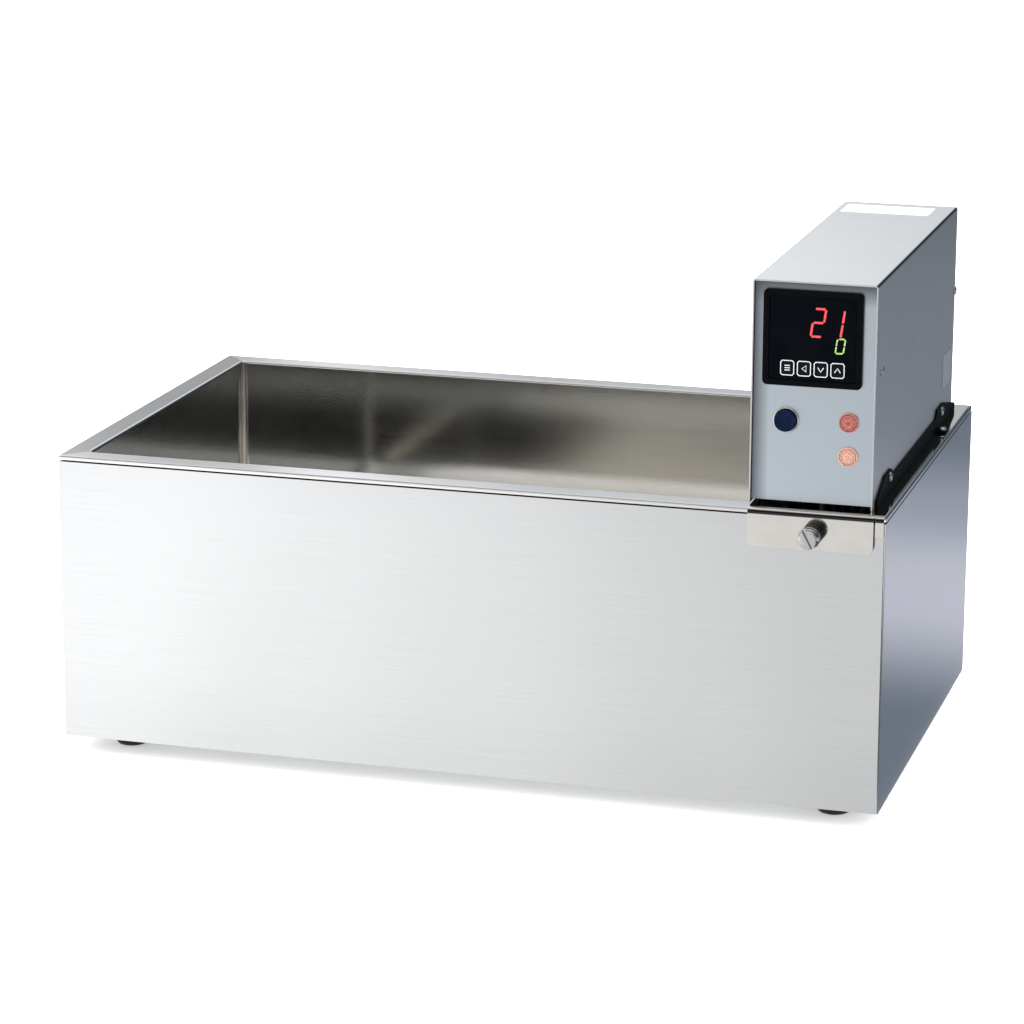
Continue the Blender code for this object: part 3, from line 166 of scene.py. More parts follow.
METAL = {"Metallic": 1.0}
MATT = {"Specular_IOR_Level": 0.05}    # finishes so dark or dry that they mirror next to nothing
LAMP = {"height": 0.003, "IOR": 1.58, "Coat_Weight": 0.3, "Coat_Roughness": 0.06, "Emission_Strength": 0.05}


def make_finishes():
    """Every finish on the bath, by the name that the pieces ask for."""
    made = {
        # Type 304 stainless sheet with a horizontal belt polish: lines too fine to see at 0.1 mm are drawn
        # 0.7 mm wide, and give the wrapped front and sides a soft sheen that runs level round the corners.
        "casing": surface("304 stainless sheet, belt polished level", "d4d5d6", "d8d9da", 0.18, 0.21, 0.7,
                          (120, 120, 1), 0.0004, smudge=0.01, **METAL),
        # The same sheet deep drawn: its inside is bright annealed and a little warmer, with faint drawing lines
        # that run level.
        "tank": surface("304 stainless sheet, drawn and annealed", "e5e4e1", "ebeae7", 0.08, 0.11, 0.8,
                        (90, 90, 1), 0.0006, smudge=0.01, **METAL),
        # Head cover: fine hairline polish across the sheet, so it runs level on top and upright on the sides.
        "cover": surface("304 stainless sheet, hairline polished", "cfd0d1", "dbdcdd", 0.28, 0.33, 0.6,
                         (150, 1, 150), 0.0005, smudge=0.008, **METAL),
        # Front panel of the head: satin anodised sheet, an even grey with a very fine sparkle.
        "face": surface("satin anodised aluminium sheet", "c2ccd5", "c8d2db", 0.28, 0.33, 0.5, height=0.0006, **METAL),
        # Mounting plate: mechanically polished stainless, which mirrors what stands next to it.
        "plate": surface("304 stainless plate, mirror polished", "dddad5", "e1deda", 0.06, 0.09, 14, height=0.0005,
                         **METAL),
        # Stove enamel on the bracket: black with slight orange peel, which softens its highlights.
        "enamel": surface("black stove enamel", "020305", "04060a", 0.46, 0.54, 1.6, height=0.004,
                          Specular_IOR_Level=0.04),
        # Nickel plated screw steel: bright, with soft turning marks.
        "screw": surface("nickel plated steel", "b9babb", "cfd0d0", 0.16, 0.26, 0.5, (1, 1, 6), 0.003, **METAL),
        # The button's ring has a pearl chrome: pale and even, its highlights spread wide.
        "ring": surface("pearl chrome plate", "e4e5e6", "ecedee", 0.36, 0.42, 0.4, height=0.001, **METAL),
        # Zinc coated sheet of the base and the inner brackets: large spangles in two greys.
        "zinc": surface("hot dip zinc coated steel", "8f9498", "b3b7ba", 0.32, 0.55, 9, detail=1.0, **METAL),
        # Painted motor and transformer shells: dark grey with a fine texture.
        "motor": surface("grey painted steel", "3b3e42", "4a4d51", 0.42, 0.56, 1.2, height=0.03, Metallic=0.2),
        # Heater, probe and stems: bright annealed tube, faintly straw coloured.
        "tube": surface("bright annealed stainless tube", "bfbab0", "cdc9c1", 0.2, 0.32, 2.4, (1, 1, 5), 0.004,
                        **METAL),
        # Clear anodised extrusion of the heat sink, with drawing lines along its fins.
        "sink": surface("clear anodised aluminium extrusion", "a9acb0", "bcbfc3", 0.34, 0.46, 0.6, (1, 60, 1), 0.006,
                        **METAL),
        # Turned brass of the glands: warm yellow with turning rings.
        "brass": surface("turned brass", "b08d4a", "c6a45e", 0.22, 0.34, 0.5, (8, 8, 1), 0.004, **METAL),
        # Moulded rubber of the feet and the seals: matt black, a little dusty.
        "rubber": surface("moulded nitrile rubber", "0a0a0b", "121213", 0.5, 0.66, 1.4, height=0.05,
                          Specular_IOR_Level=0.35),
        # Silicone keypad: black with the dry grain of moulded keys.
        "keypad": surface("moulded silicone keypad", "030405", "07080a", 0.42, 0.56, 0.7, height=0.004,
                          Specular_IOR_Level=0.12),
        # Mineral wool: ochre fibres in loose layers.
        "wool": surface("mineral wool felt", "8d8052", "b7a878", 0.9, 1.0, 2.5, (4, 4, 1), 0.8, detail=6.0),
        # Bezel and collar: black ABS with a fine spark-eroded texture, so their edges stay soft.
        "bezel": surface("black ABS, spark-eroded texture", "020306", "040509", 0.3, 0.38, 0.6, height=0.003, **MATT),
        # Housings of relay, controller and switch: plain black glass-filled nylon, dull with a short grain.
        "case": surface("black glass-filled nylon", "17181a", "222325", 0.46, 0.6, 1.1, height=0.03),
        # Window: smoked acrylic, almost black, with a clear gloss.
        "window": surface("smoked acrylic sheet", "020307", "04050a", 0.07, 0.11, 25, IOR=1.49, **MATT),
        # Circuit boards: green solder mask over a faint copper pattern.
        "board": surface("green solder mask on glass epoxy", "0d3b20", "1a5a31", 0.3, 0.42, 2.2, height=0.02,
                         detail=0.0),
        # Push button: navy polycarbonate with a moulded gloss.
        "navy": surface("navy moulded polycarbonate", "020c20", "051230", 0.2, 0.28, 2.0, height=0.004, IOR=1.58,
                        Specular_IOR_Level=0.06),
        # Lamp lenses: tinted polycarbonate lit from inside, brighter where the wall is thin.
        "red": surface("red tinted polycarbonate", "86443d", "a2645b", 0.14, 0.24, 1.1,
                       Emission_Color=rgb("b8584c"), **LAMP),
        "orange": surface("orange tinted polycarbonate", "a97d6e", "b98f80", 0.14, 0.24, 1.1,
                          Emission_Color=rgb("dda28e"), **LAMP),
        # Neon bulbs behind the lenses, seen as a darker middle.
        "red_core": surface("red lamp bulb behind the lens", "70302b", "8a453d", 0.2, 0.3, 1.2, IOR=1.58),
        "orange_core": surface("orange lamp bulb behind the lens", "a06c5a", "ae7c6c", 0.2, 0.3, 1.2, IOR=1.58),
        # Float, stops and bushes: natural nylon, milky with a soft gloss.
        "nylon": surface("natural moulded nylon", "aeaba0", "bab7ab", 0.38, 0.5, 1.8, height=0.02,
                         Subsurface_Weight=0.1, Subsurface_Radius=(0.002, 0.002, 0.0015)),
        # Rating plate: bare foil, softly bright along its rolling lines.
        "foil": surface("bare satin aluminium foil", "b4b9be", "c0c5ca", 0.34, 0.42, 0.8, (40, 1, 1), 0.003,
                        Metallic=0.9),
        # The strip on the head: white film, even and slightly glossy, left without words.
        "film": surface("white polyester film", "adafae", "b8bab8", 0.3, 0.4, 6, height=0.004),
        # Readout: light-emitting segments, red above and green below, and almost black where they are off.
        "red_glow": surface("red light-emitting segment", "140808", "dc3a42", 0.4, 0.4, 0.8,
                            Emission_Color=rgb("dc3a42"), Emission_Strength=0.75),
        "green_glow": surface("green light-emitting segment", "0a1408", "94bb66", 0.4, 0.4, 0.8,
                              Emission_Color=rgb("94bb66"), Emission_Strength=0.72),
        "unlit": surface("unlit readout segment", "030304", "060506", 0.3, 0.4, 0.8, **MATT),
        # Print round the keys: pale grey ink, flat and dry.
        "print": surface("pale grey screen print", "aab2b6", "bcc4c8", 0.4, 0.5, 0.4),
    }
    # The tank's rim is painted greyer and cooler, a painted shade for the duller light that it mirrors. Its short end,
    # mitred at 45 degrees into the long ones, is painted darker still, for the darker surroundings that it mirrors.
    tree, soft = made["tank"].node_tree, 0.3 * MM
    _, low, high = place("inner_tank")
    front, back = low.x - low.y, low.x + high.y
    short_end_shade = zone(tree, ((1, -1, 0), front + soft, front - soft), ((1, 1, 0), back + soft, back - soft))
    # belt holds the rim's painted shade colours: greyer on the long sides, darker on the short end.
    belt = add(tree, "Mix", {"Factor": short_end_shade, "A": rgb("cdd0d2"), "B": rgb("9fa2a5")}, data_type="RGBA")
    dress(made["tank"], zone(tree, (Z, high.z - 2.4 * MM, high.z - 0.8 * MM)), belt, rougher=0.05)
    # Painted reflection: a thin dark line along the cover's long bends, for the dark that the bends mirror.
    _, low, high = place("head_cover")
    left, right = high.z - low.x, high.z + high.x
    inner = zone(made["cover"].node_tree, ((-1, 0, 1), left - 1.45 * MM, left - 1.75 * MM),
                 ((1, 0, 1), right - 1.45 * MM, right - 1.75 * MM))
    dress(made["cover"], inner, rgb("4a4f56"), inside=False)
    # Painted shade: the front panel is darker towards its left and top edges, for the shade of the cover's recess round
    # it.
    _, low, high = place("face_panel")
    inner = zone(made["face"].node_tree, (X, low.x - 1 * MM, low.x + 12 * MM), (Z, high.z + 1 * MM, high.z - 16 * MM))
    dress(made["face"], inner, rgb("5a6168"), inside=False)
    # Painted reflection: a dark band on the outside of the plate's bend down to the flange, for the dark that the bend
    # mirrors.
    top = place("mounting_plate")[2].z
    painted_bend_reflection = zone(made["plate"].node_tree, (Z, top - 4.9 * MM, top - 4.2 * MM), (Z, top - 1.3 * MM, top - 2.0 * MM))
    dress(made["plate"], painted_bend_reflection, rgb("34373b"))
    return made


FINISH_OF_SLOT = {
    "brushed_stainless": "casing", "satin_stainless": "cover", "polished_stainless": "plate",
    "polished_chrome": "ring", "screw_steel": "screw", "galvanised_steel": "zinc", "motor_steel": "motor",
    "heater_steel": "tube", "anodised_aluminium": "sink", "brass": "brass", "black_rubber": "rubber",
    "key_rubber": "keypad", "mineral_wool": "wool", "black_enamel": "enamel", "bezel_plastic": "bezel",
    "case_plastic": "case", "smoked_acrylic": "window", "circuit_board": "board", "navy_plastic": "navy",
    "red_lens": "red", "orange_lens": "orange", "white_nylon": "nylon", "blank_foil": "foil",
}
FINISHES = {}


# ---------------------------------------------------------------- modelling tools

def edit(item=None):
    """Go into edit mode on an item, or back to object mode with none."""
    if item is not None:
        bpy.context.view_layer.objects.active = item
    if item is not None or bpy.context.mode != "OBJECT":
        bpy.ops.object.mode_set(mode="EDIT" if item is not None else "OBJECT")


def only(*items):
    """Go to object mode with just these items selected, the first of them active."""
    edit()
    bpy.ops.object.select_all(action="DESELECT")
    for item in items:
        item.select_set(True)
    bpy.context.view_layer.objects.active = items[0]


def start(kind, **settings):
    """Add one primitive with nothing else selected, and give it back."""
    edit()
    bpy.ops.object.select_all(action="DESELECT")
    getattr(bpy.ops.mesh, f"primitive_{kind}_add")(**settings)
    return bpy.context.object


def block(low, high):
    """A cube stretched between two corners, its place in its mesh."""
    low, high = Vector(low), Vector(high)
    item = start("cube", size=1, location=(low + high) / 2)
    item.scale = high - low
    bpy.ops.object.transform_apply()
    return item


def pick(test, kind="FACE"):
    """Select the faces or edges whose middle and normal, or direction, pass a test."""
    bpy.ops.mesh.select_mode(type=kind)
    bpy.ops.mesh.select_all(action="DESELECT")
    mesh = bmesh.from_edit_mesh(bpy.context.object.data)
    mesh.normal_update()
    for part in mesh.faces if kind == "FACE" else mesh.edges:
        if kind == "FACE":
            middle, way = part.calc_center_median(), part.normal
        else:
            first, last = (vert.co for vert in part.verts)
            middle, way = (first + last) / 2, (last - first).normalized()
        part.select_set(bool(test(middle, way)))
    mesh.select_flush_mode()
    bmesh.update_edit_mesh(bpy.context.object.data)


def near(value, target, reach=0.02 * MM):
    return abs(value - target) < reach


def grow(move=(0, 0, 0), size=(1, 1, 1), about=(0, 0, 0)):
    """Extrude what is selected, move it, then resize it about a point."""
    bpy.ops.mesh.extrude_region_move(TRANSFORM_OT_translate={"value": move})
    if tuple(size) != (1, 1, 1):
        bpy.ops.transform.resize(value=size, center_override=about)


def face_outwards():
    """Turn every face of the item in edit mode outwards."""
    bpy.ops.mesh.select_all(action="SELECT")
    bpy.ops.mesh.normals_make_consistent(inside=False)


def modify(item, kind, **settings):
    """Add one modifier with its settings and apply it."""
    edit()
    bpy.context.view_layer.objects.active = item
    modifier = item.modifiers.new(kind.title(), kind)
    for field, value in settings.items():
        setattr(modifier, field, value)
    bpy.ops.object.modifier_apply(modifier=modifier.name)
    return item


def thicken(item, sheet):
    """Give an open skin its sheet's thickness, inwards."""
    return modify(item, "SOLIDIFY", thickness=sheet, offset=-1, use_even_offset=True)


def ease(item, width, segments=2, angle=38):
    """Round every edge sharper than the angle."""
    return modify(item, "BEVEL", width=width, segments=segments, limit_method="ANGLE",
                  angle_limit=math.radians(angle), use_clamp_overlap=True)


def put(item, centre, facing=Z, spin=0.0):
    """Turn an item made along +Z to face another way, and set it down with its place in its mesh."""
    only(item)
    lean = Vector(Z).rotation_difference(Vector(facing)).to_matrix().to_4x4()
    item.matrix_world = Matrix.Translation(centre) @ lean @ Matrix.Rotation(spin, 4, "Z")
    bpy.ops.object.transform_apply()
    return item


def turn_up(profile, steps=48, ring=False):
    """Shape a circle along a profile of (radius, height) points, as on a lathe; a ring has an open bore."""
    (radius, height), *rest = profile
    item = start("circle", vertices=steps, radius=radius, fill_type="NOTHING" if ring else "NGON",
                 location=(0, 0, height))
    bpy.ops.object.transform_apply()
    edit(item)
    bpy.ops.mesh.select_mode(type="VERT")
    bpy.ops.mesh.select_all(action="SELECT")
    for wide, tall in rest + ([profile[0]] if ring else []):
        share = wide / radius
        grow((0, 0, tall - height), (share, share, 1), (0, 0, tall))
        radius, height = wide, tall
    bpy.ops.mesh.select_all(action="SELECT")
    bpy.ops.mesh.remove_doubles(threshold=0.001 * MM)
    face_outwards()
    edit()
    return item


def dome(radius, low, high, steps, flat=0.0):
    """Profile points of a crowned end, from its rim at low to its top at high."""
    turns = [math.pi / 2 * step / steps for step in range(steps)]
    points = [(flat + (radius - flat) * math.cos(turn), low + (high - low) * math.sin(turn)) for turn in turns]
    return points + [(max(flat, radius * 0.02), high)]


def slab(points, through):
    """A flat outline of any number of corners, extruded along a vector."""
    item = start("plane", size=1)
    mesh = bmesh.new()
    mesh.faces.new([mesh.verts.new(point) for point in points])
    mesh.to_mesh(item.data)
    mesh.free()
    edit(item)
    bpy.ops.mesh.select_all(action="SELECT")
    grow(through)
    face_outwards()
    edit()
    return item


def merge(*items):
    """Join items into the first one."""
    only(*items)
    if len(items) > 1:
        bpy.ops.object.join()
    return items[0]


def carve(item, *cutters):
    """Cut each cutter out of the item and remove it."""
    for cutter in cutters:
        modify(item, "BOOLEAN", operation="DIFFERENCE", object=cutter, solver="EXACT")
        bpy.data.objects.remove(cutter, do_unlink=True)
    return item


def stand(name, data):
    """An object in the scene for a mesh, curve, lamp or camera."""
    item = bpy.data.objects.new(name, data)
    bpy.context.scene.collection.objects.link(item)
    return item


def twin(item):
    """A copy with its own mesh."""
    return stand(item.name, item.data.copy())


def refined(name):
    """A copy of a CAD node, its loose triangles merged and its flat areas made whole."""
    item = twin(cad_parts[name])
    only(item)
    if item.data.has_custom_normals:
        bpy.ops.mesh.customdata_custom_splitnormals_clear()
    edit(item)
    bpy.ops.mesh.select_all(action="SELECT")
    bpy.ops.mesh.remove_doubles(threshold=0.002 * MM)
    bpy.ops.mesh.dissolve_limited(angle_limit=math.radians(0.6))
    edit()
    return item


def deliver(item, name, body, slot, replaced=(), finish=None, smooth=32):
    """Name a finished piece, give it smooth faces and its slot's usual finish or another, and seat it on its body."""
    only(item)
    if len(item.data.polygons) < 6:
        raise RuntimeError(f"{name} has no closed shape")
    item.name = item.data.name = name
    item.data.materials.clear()
    item.data.materials.append(FINISHES[finish or FINISH_OF_SLOT[slot]])
    bpy.ops.object.shade_smooth_by_angle(angle=math.radians(smooth))
    modify(item, "WEIGHTED_NORMAL", keep_sharp=True, weight=80)
    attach(item, body)
    if replaced:
        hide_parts(*replaced)
    return item


def refine(node, name, body, slot, edge, segments=2, angle=40, **more):
    """Deliver a CAD node under its new name, its edges eased."""
    part = refined(node)
    if edge:
        ease(part, edge, segments, angle)
    deliver(part, name, body, slot, [node], **more)


# ---------------------------------------------------------------- settings

def length(name, millimetres, description):
    """A size that a user may change."""
    return FloatProperty(name=name, description=description, default=millimetres * MM, unit="LENGTH")


class WATERBATH_PG_body(bpy.types.PropertyGroup):
    """Sizes of the bath's own sheet metal."""
    casing_radius: length("Casing corner", 1.6, "Outer radius of the casing's folded corners")
    casing_sheet: length("Casing sheet", 1.0, "Thickness of the casing's sheet")
    casing_return: length("Turned-in edge", 12, "Width of the casing's turned-in edges")
    rim_width: length("Rim width", 19, "Width of the tank's flat rim")
    rim_lip: length("Rim lip", 3.2, "Height of the lip turned down round the rim")
    rim_corner: length("Rim corner", 3, "Corner radius of the rim seen from above")
    rim_edge: length("Rim edge", 1.2, "Radius of the bend from rim to lip")
    mouth: length("Mouth bend", 2, "Radius of the bend from rim to tank wall")
    tank_corner: length("Tank corner", 5, "Radius of the tank's upright corners")
    tank_bend: length("Floor bend", 13, "Radius where the tank's walls meet its floor")
    tank_depth: length("Tank depth", 176, "Depth of the tank below its rim")
    bend_steps: IntProperty(name="Bend steps", description="Facets in each bend", default=10)


class WATERBATH_PG_head(bpy.types.PropertyGroup):
    """Sizes on the control head."""
    sheet: length("Cover sheet", 1.2, "Thickness of the folded cover")
    bend: length("Cover bend", 1.8, "Outer radius of the cover's long bends")
    bottom_return: length("Bottom return", 9, "Width of the cover's turned-in feet")
    return_start: length("Return start", 40, "How far behind the front the feet begin")
    plate_bend: length("Plate bend", 4.5, "Outer radius of the bend down to the flange")
    edge: length("Cut edge", 0.2, "Rounding of deburred sheet edges")
    reading: StringProperty(name="Reading", description="Whole number on the upper readout", default="21")
    set_point: StringProperty(name="Lower digit", description="Digit on the lower readout", default="0")
    digit_height: length("Digit height", 20.2, "Height of the red digits")
    digit_slant: FloatProperty(name="Digit slant", description="Lean of the digits", default=math.radians(8),
                               subtype="ANGLE")
    small_height: length("Small digit height", 10.5, "Height of the green digit")
    knob_collar: length("Knob collar", 10, "Length of the black collar behind the thumbscrew's knob")
    lamp_rim: length("Lamp rim", 0.8, "How far the lamps' rims reach past their lenses")
    label_length: length("Strip length", 70, "Length of the bare strip on the head's top")


class WATERBATH_PG_stage(bpy.types.PropertyGroup):
    """The floor and the light."""
    floor: FloatVectorProperty(name="Floor", description="Colour of the floor", subtype="COLOR", size=4,
                               default=(0.9, 0.9, 0.9, 1))
    light: FloatProperty(name="Room light", description="Strength of the soft light all round", default=1.0)
    overhead: FloatProperty(name="Overhead light", description="Power of the soft light above, in watts",
                            default=60.0)


# ---------------------------------------------------------------- the bath

class WATERBATH_OT_casing(bpy.types.Operator):
    """Fold the casing's sheet round the front and both sides, and close its back with a panel"""
    bl_idname = "waterbath.casing"
    bl_label = "Casing"

    def execute(self, context):
        size = context.scene.water_bath_body
        _, low, high = place("outer_casing")
        item = block(low, high)
        edit(item)
        pick(lambda spot, way: abs(way.z) > 0.9 or way.y > 0.9)
        bpy.ops.mesh.delete(type="FACE")
        pick(lambda spot, way: abs(way.z) > 0.9 and near(spot.y, low.y), "EDGE")
        bpy.ops.mesh.bevel(offset=size.casing_radius, segments=size.bend_steps, affect="EDGES")
        shares = [1 - 2 * size.casing_return / (high.x - low.x), 1 - size.casing_return / (high.y - low.y), 1]
        for level in (low.z, high.z):
            pick(lambda spot, way: near(spot.z, level), "EDGE")
            grow(size=shares, about=(0, high.y, level))
        face_outwards()
        thicken(item, size.casing_sheet)
        ease(item, size.casing_sheet / 4, 2, 60)
        deliver(item, "casing_wrap", "bath", "brushed_stainless", ["outer_casing"])
        refine("back_panel", "casing_back", "bath", "brushed_stainless", size.casing_sheet / 4, 2, 60)
        return {"FINISHED"}


def rounded_ring(low, high, inset, radius, height, steps):
    """Corners of a rounded rectangle at one height, counterclockwise."""
    points = []
    left, right, front, back = low.x + inset, high.x - inset, low.y + inset, high.y - inset
    middles = [(left + radius, front + radius), (right - radius, front + radius),
               (right - radius, back - radius), (left + radius, back - radius)]
    for corner, (x, y) in enumerate(middles):
        for step in range(steps + 1):
            angle = math.pi + (corner + step / steps) * math.pi / 2
            points.append((x + radius * math.cos(angle), y + radius * math.sin(angle), height))
    return points


class WATERBATH_OT_tank(bpy.types.Operator):
    """Draw the tank with its rim and lip as one skin, then give it its sheet's thickness"""
    bl_idname = "waterbath.tank"
    bl_label = "Tank"

    def execute(self, context):
        size = context.scene.water_bath_body
        _, low, high = place("inner_tank")
        floor, top, steps = high.z - size.tank_depth, high.z, size.bend_steps
        turns = [math.pi / 2 * step / steps for step in range(steps + 1)]
        # Three bends from the floor outwards: inset, corner radius, level, bend radius, and which end comes first.
        bends = [(size.rim_width, size.tank_corner, floor, size.tank_bend, size.tank_bend, 1),
                 (size.rim_width, size.tank_corner, top, -size.mouth, -size.mouth, -1),
                 (0.0, size.rim_corner, top, size.rim_edge, -size.rim_edge, 1)]
        rings = [(inset + across * (1 - math.sin(turn)), corner, level + up * (1 - math.cos(turn)))
                 for inset, corner, level, across, up, order in bends for turn in turns[::order]]
        rings.append((0.0, size.rim_corner, top - size.rim_lip))
        mesh = bmesh.new()
        rows = [[mesh.verts.new(spot) for spot in rounded_ring(low, high, *ring, steps)] for ring in rings]
        for lower, upper in zip(rows, rows[1:]):
            for index in range(len(lower)):
                after = (index + 1) % len(lower)
                mesh.faces.new((upper[index], upper[after], lower[after], lower[index]))
        mesh.faces.new(rows[0])
        item = start("plane", size=high.x - low.x)
        mesh.to_mesh(item.data)
        mesh.free()
        edit(item)
        pick(lambda spot, way: abs(way.z) > 0.9 and near(spot.z, floor))
        bpy.ops.mesh.inset(thickness=size.tank_corner / 2, depth=0)
        thicken(item, size.casing_sheet)
        ease(item, size.casing_sheet / 5, 2, 60)
        deliver(item, "tank_liner", "bath", "brushed_stainless", ["inner_tank"], "tank")
        return {"FINISHED"}


class WATERBATH_OT_feet(bpy.types.Operator):
    """Turn one rubber foot, neck and push-in head included, and copy it to the four corners"""
    bl_idname = "waterbath.feet"
    bl_label = "Feet"

    def execute(self, context):
        names = [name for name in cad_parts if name.startswith("foot_")]
        # radius and height in millimetres: hollow, rounded tread, side with a moulding line, neck, head
        profile = [(0.2, 7), (4.6, 7), (5, 6.6), (5, 0.3), (5.3, 0), (10.6, 0), (11.6, 0.4), (12.4, 1.4), (12.9, 3),
                   (13, 4.5), (13, 8.2), (12.7, 8.5), (12.7, 8.9), (13, 9.2), (13, 14.2), (12.6, 14.7), (4, 14.7),
                   (4, 16.85), (5.3, 16.85), (5.5, 17.1), (4.2, 21.4), (3.6, 21.8), (0.2, 21.8)]
        master = turn_up([(wide * MM, tall * MM) for wide, tall in profile], 40)
        for name in names:
            middle, low, _ = place(name)
            foot = put(twin(master), (middle.x, middle.y, low.z))
            deliver(foot, name.replace("foot", "rubber_foot"), "bath", "black_rubber", [name])
        bpy.data.objects.remove(master, do_unlink=True)
        return {"FINISHED"}


# ---------------------------------------------------------------- the control head

class WATERBATH_OT_cover(bpy.types.Operator):
    """Fold the head's cover from one sheet, and ease the panels that close its front and back"""
    bl_idname = "waterbath.cover"
    bl_label = "Head cover"

    def execute(self, context):
        size = context.scene.water_bath_head
        _, low, high = place("head_cover")
        item = block(low, high)
        edit(item)
        pick(lambda spot, way: abs(way.y) > 0.9 or way.z < -0.9)
        bpy.ops.mesh.delete(type="FACE")
        pick(lambda spot, way: abs(way.y) > 0.9 and near(spot.z, high.z), "EDGE")
        bpy.ops.mesh.bevel(offset=size.bend, segments=6, affect="EDGES")
        bpy.ops.mesh.select_all(action="SELECT")
        start_back = low.y + size.return_start
        bpy.ops.mesh.bisect(plane_co=(0, start_back, 0), plane_no=Y)
        pick(lambda spot, way: abs(way.y) > 0.9 and near(spot.z, low.z) and spot.y > start_back, "EDGE")
        share = 1 - 2 * size.bottom_return / (high.x - low.x)
        grow(size=(share, 1, 1), about=((low.x + high.x) / 2, 0, low.z))
        face_outwards()
        thicken(item, size.sheet)
        ease(item, size.edge, 3, 50)
        deliver(item, "cover_shell", "control_head", "brushed_stainless", ["head_cover"], "cover")
        refine("face_panel", "face_sheet", "control_head", "satin_stainless", size.edge, 2, 50, finish="face")
        refine("rear_panel", "rear_sheet", "control_head", "satin_stainless", size.edge, 2, 50)
        return {"FINISHED"}


class WATERBATH_OT_mounting(bpy.types.Operator):
    """Deburr the mounting plate with its flange, and the black bracket"""
    bl_idname = "waterbath.mounting"
    bl_label = "Plate and bracket"

    def execute(self, context):
        size = context.scene.water_bath_head
        plate = refined("mounting_plate")
        _, low, high = place("mounting_plate")
        # What lies outside the rounded bend is cut from the plate: an arc from the flange up to the top, and a corner.
        bend, past, steps = size.plate_bend, 2 * MM, 14
        left, front, top = low.x - past, low.y - past, high.z + past
        turns = [math.radians(180 - 90 * step / steps) for step in range(steps + 1)]
        outline = [(left, low.y + bend + bend * math.cos(turn), high.z - bend + bend * math.sin(turn))
                   for turn in turns]
        outline += [(left, low.y + bend, top), (left, front, top), (left, front, high.z - bend)]
        carve(plate, slab(outline, (high.x - low.x + 2 * past, 0, 0)))
        ease(plate, size.edge, 3, 50)
        deliver(plate, "carrier_plate", "control_head", "polished_stainless", ["mounting_plate"])
        refine("side_bracket", "bracket_angle", "control_head", "black_enamel", size.edge, 3, 50)
        return {"FINISHED"}


# Which of the seven bars each digit lights, from the top clockwise, with the middle one as g.
SEGMENTS = {"0": "abcdef", "1": "bc", "2": "abged", "3": "abgcd", "4": "fgbc", "5": "afgcd", "6": "afgedc",
            "7": "abc", "8": "abcdefg", "9": "abcdfg"}


def digit(height, wide, thick, slant):
    """Seven bevelled bars of one readout digit, standing in X and Z from its lower left corner."""
    half = height / 2
    spots = {"a": (wide / 2, height, 0), "g": (wide / 2, half, 0), "d": (wide / 2, 0, 0),
             "f": (0, height * 0.75, 1), "b": (wide, height * 0.75, 1), "e": (0, height * 0.25, 1),
             "c": (wide, height * 0.25, 1)}
    lean = Matrix(((1, 0, math.tan(slant), 0), (0, 1, 0, 0), (0, 0, 1, 0), (0, 0, 0, 1)))
    bars = {}
    for name, (x, z, upright) in spots.items():
        reach = (half if upright else wide) - thick * 0.35
        item = start("circle", vertices=6, radius=thick / 2, fill_type="NGON", location=(0, 0, 0))
        edit(item)
        mesh = bmesh.from_edit_mesh(item.data)
        for vert in mesh.verts:
            vert.co.y += math.copysign((reach - thick) / 2, vert.co.y)
        bmesh.update_edit_mesh(item.data)
        grow((0, 0, thick * 0.12), (0.9, 0.97, 1))
        put(item, (0, 0, 0), FRONT, 0 if upright else math.pi / 2)
        item.data.transform(lean @ Matrix.Translation((x, 0, z)))
        bars[name] = item
    return bars


def write_number(text, corner, height, wide, thick, slant, lit, label):
    """Set a number's digits leftwards from their lower right corner, lit bars in one piece and dark in another."""
    made = {"lit": [], "dark": []}
    for number, letter in enumerate(reversed(text)):
        shift = Vector(corner) - Vector((wide + number * (wide + 2.9 * thick), 0, 0))
        for name, item in digit(height, wide, thick, slant).items():
            item.data.transform(Matrix.Translation(shift))
            made["lit" if name in SEGMENTS.get(letter, "") else "dark"].append(item)
    for state, finish, slot in (("lit", lit, "red_lens"), ("dark", "unlit", "smoked_acrylic")):
        if made[state]:
            item = merge(*made[state])
            edit(item)
            face_outwards()
            deliver(item, f"{label}_{state}", "control_head", slot, finish=finish)


class WATERBATH_OT_controller(bpy.types.Operator):
    """Ease the controller's frame and window, and set its lit digits"""
    bl_idname = "waterbath.controller"
    bl_label = "Controller"

    def execute(self, context):
        size = context.scene.water_bath_head
        refine("controller_bezel", "controller_frame", "control_head", "bezel_plastic", 0.35 * MM, 3)
        refine("display_window", "readout_window", "control_head", "smoked_acrylic", 0.15 * MM)
        _, low, high = place("display_window")
        front, tall, small = low.y - 0.02 * MM, size.digit_height, size.small_height
        write_number(size.reading, (high.x - 11.2 * MM, front, high.z - 28 * MM), tall, tall * 0.4, 1.9 * MM,
                     size.digit_slant, "red_glow", "reading")
        write_number(size.set_point, (high.x - 9 * MM, front, high.z - 39.3 * MM), small, small * 0.55, 1.3 * MM,
                     size.digit_slant, "green_glow", "set_point")
        return {"FINISHED"}


# Marks on the four keys as strokes in shares of the key's width and height: a menu, a step left, down and up.
KEY_MARKS = {
    "mode_key": [((0.3, 0.66), (0.7, 0.66)), ((0.3, 0.5), (0.7, 0.5)), ((0.3, 0.34), (0.7, 0.34))],
    "shift_key": [((0.66, 0.72), (0.34, 0.5), (0.66, 0.28), (0.66, 0.72))],
    "down_key": [((0.28, 0.64), (0.5, 0.34), (0.72, 0.64))],
    "up_key": [((0.28, 0.36), (0.5, 0.66), (0.72, 0.36))],
}


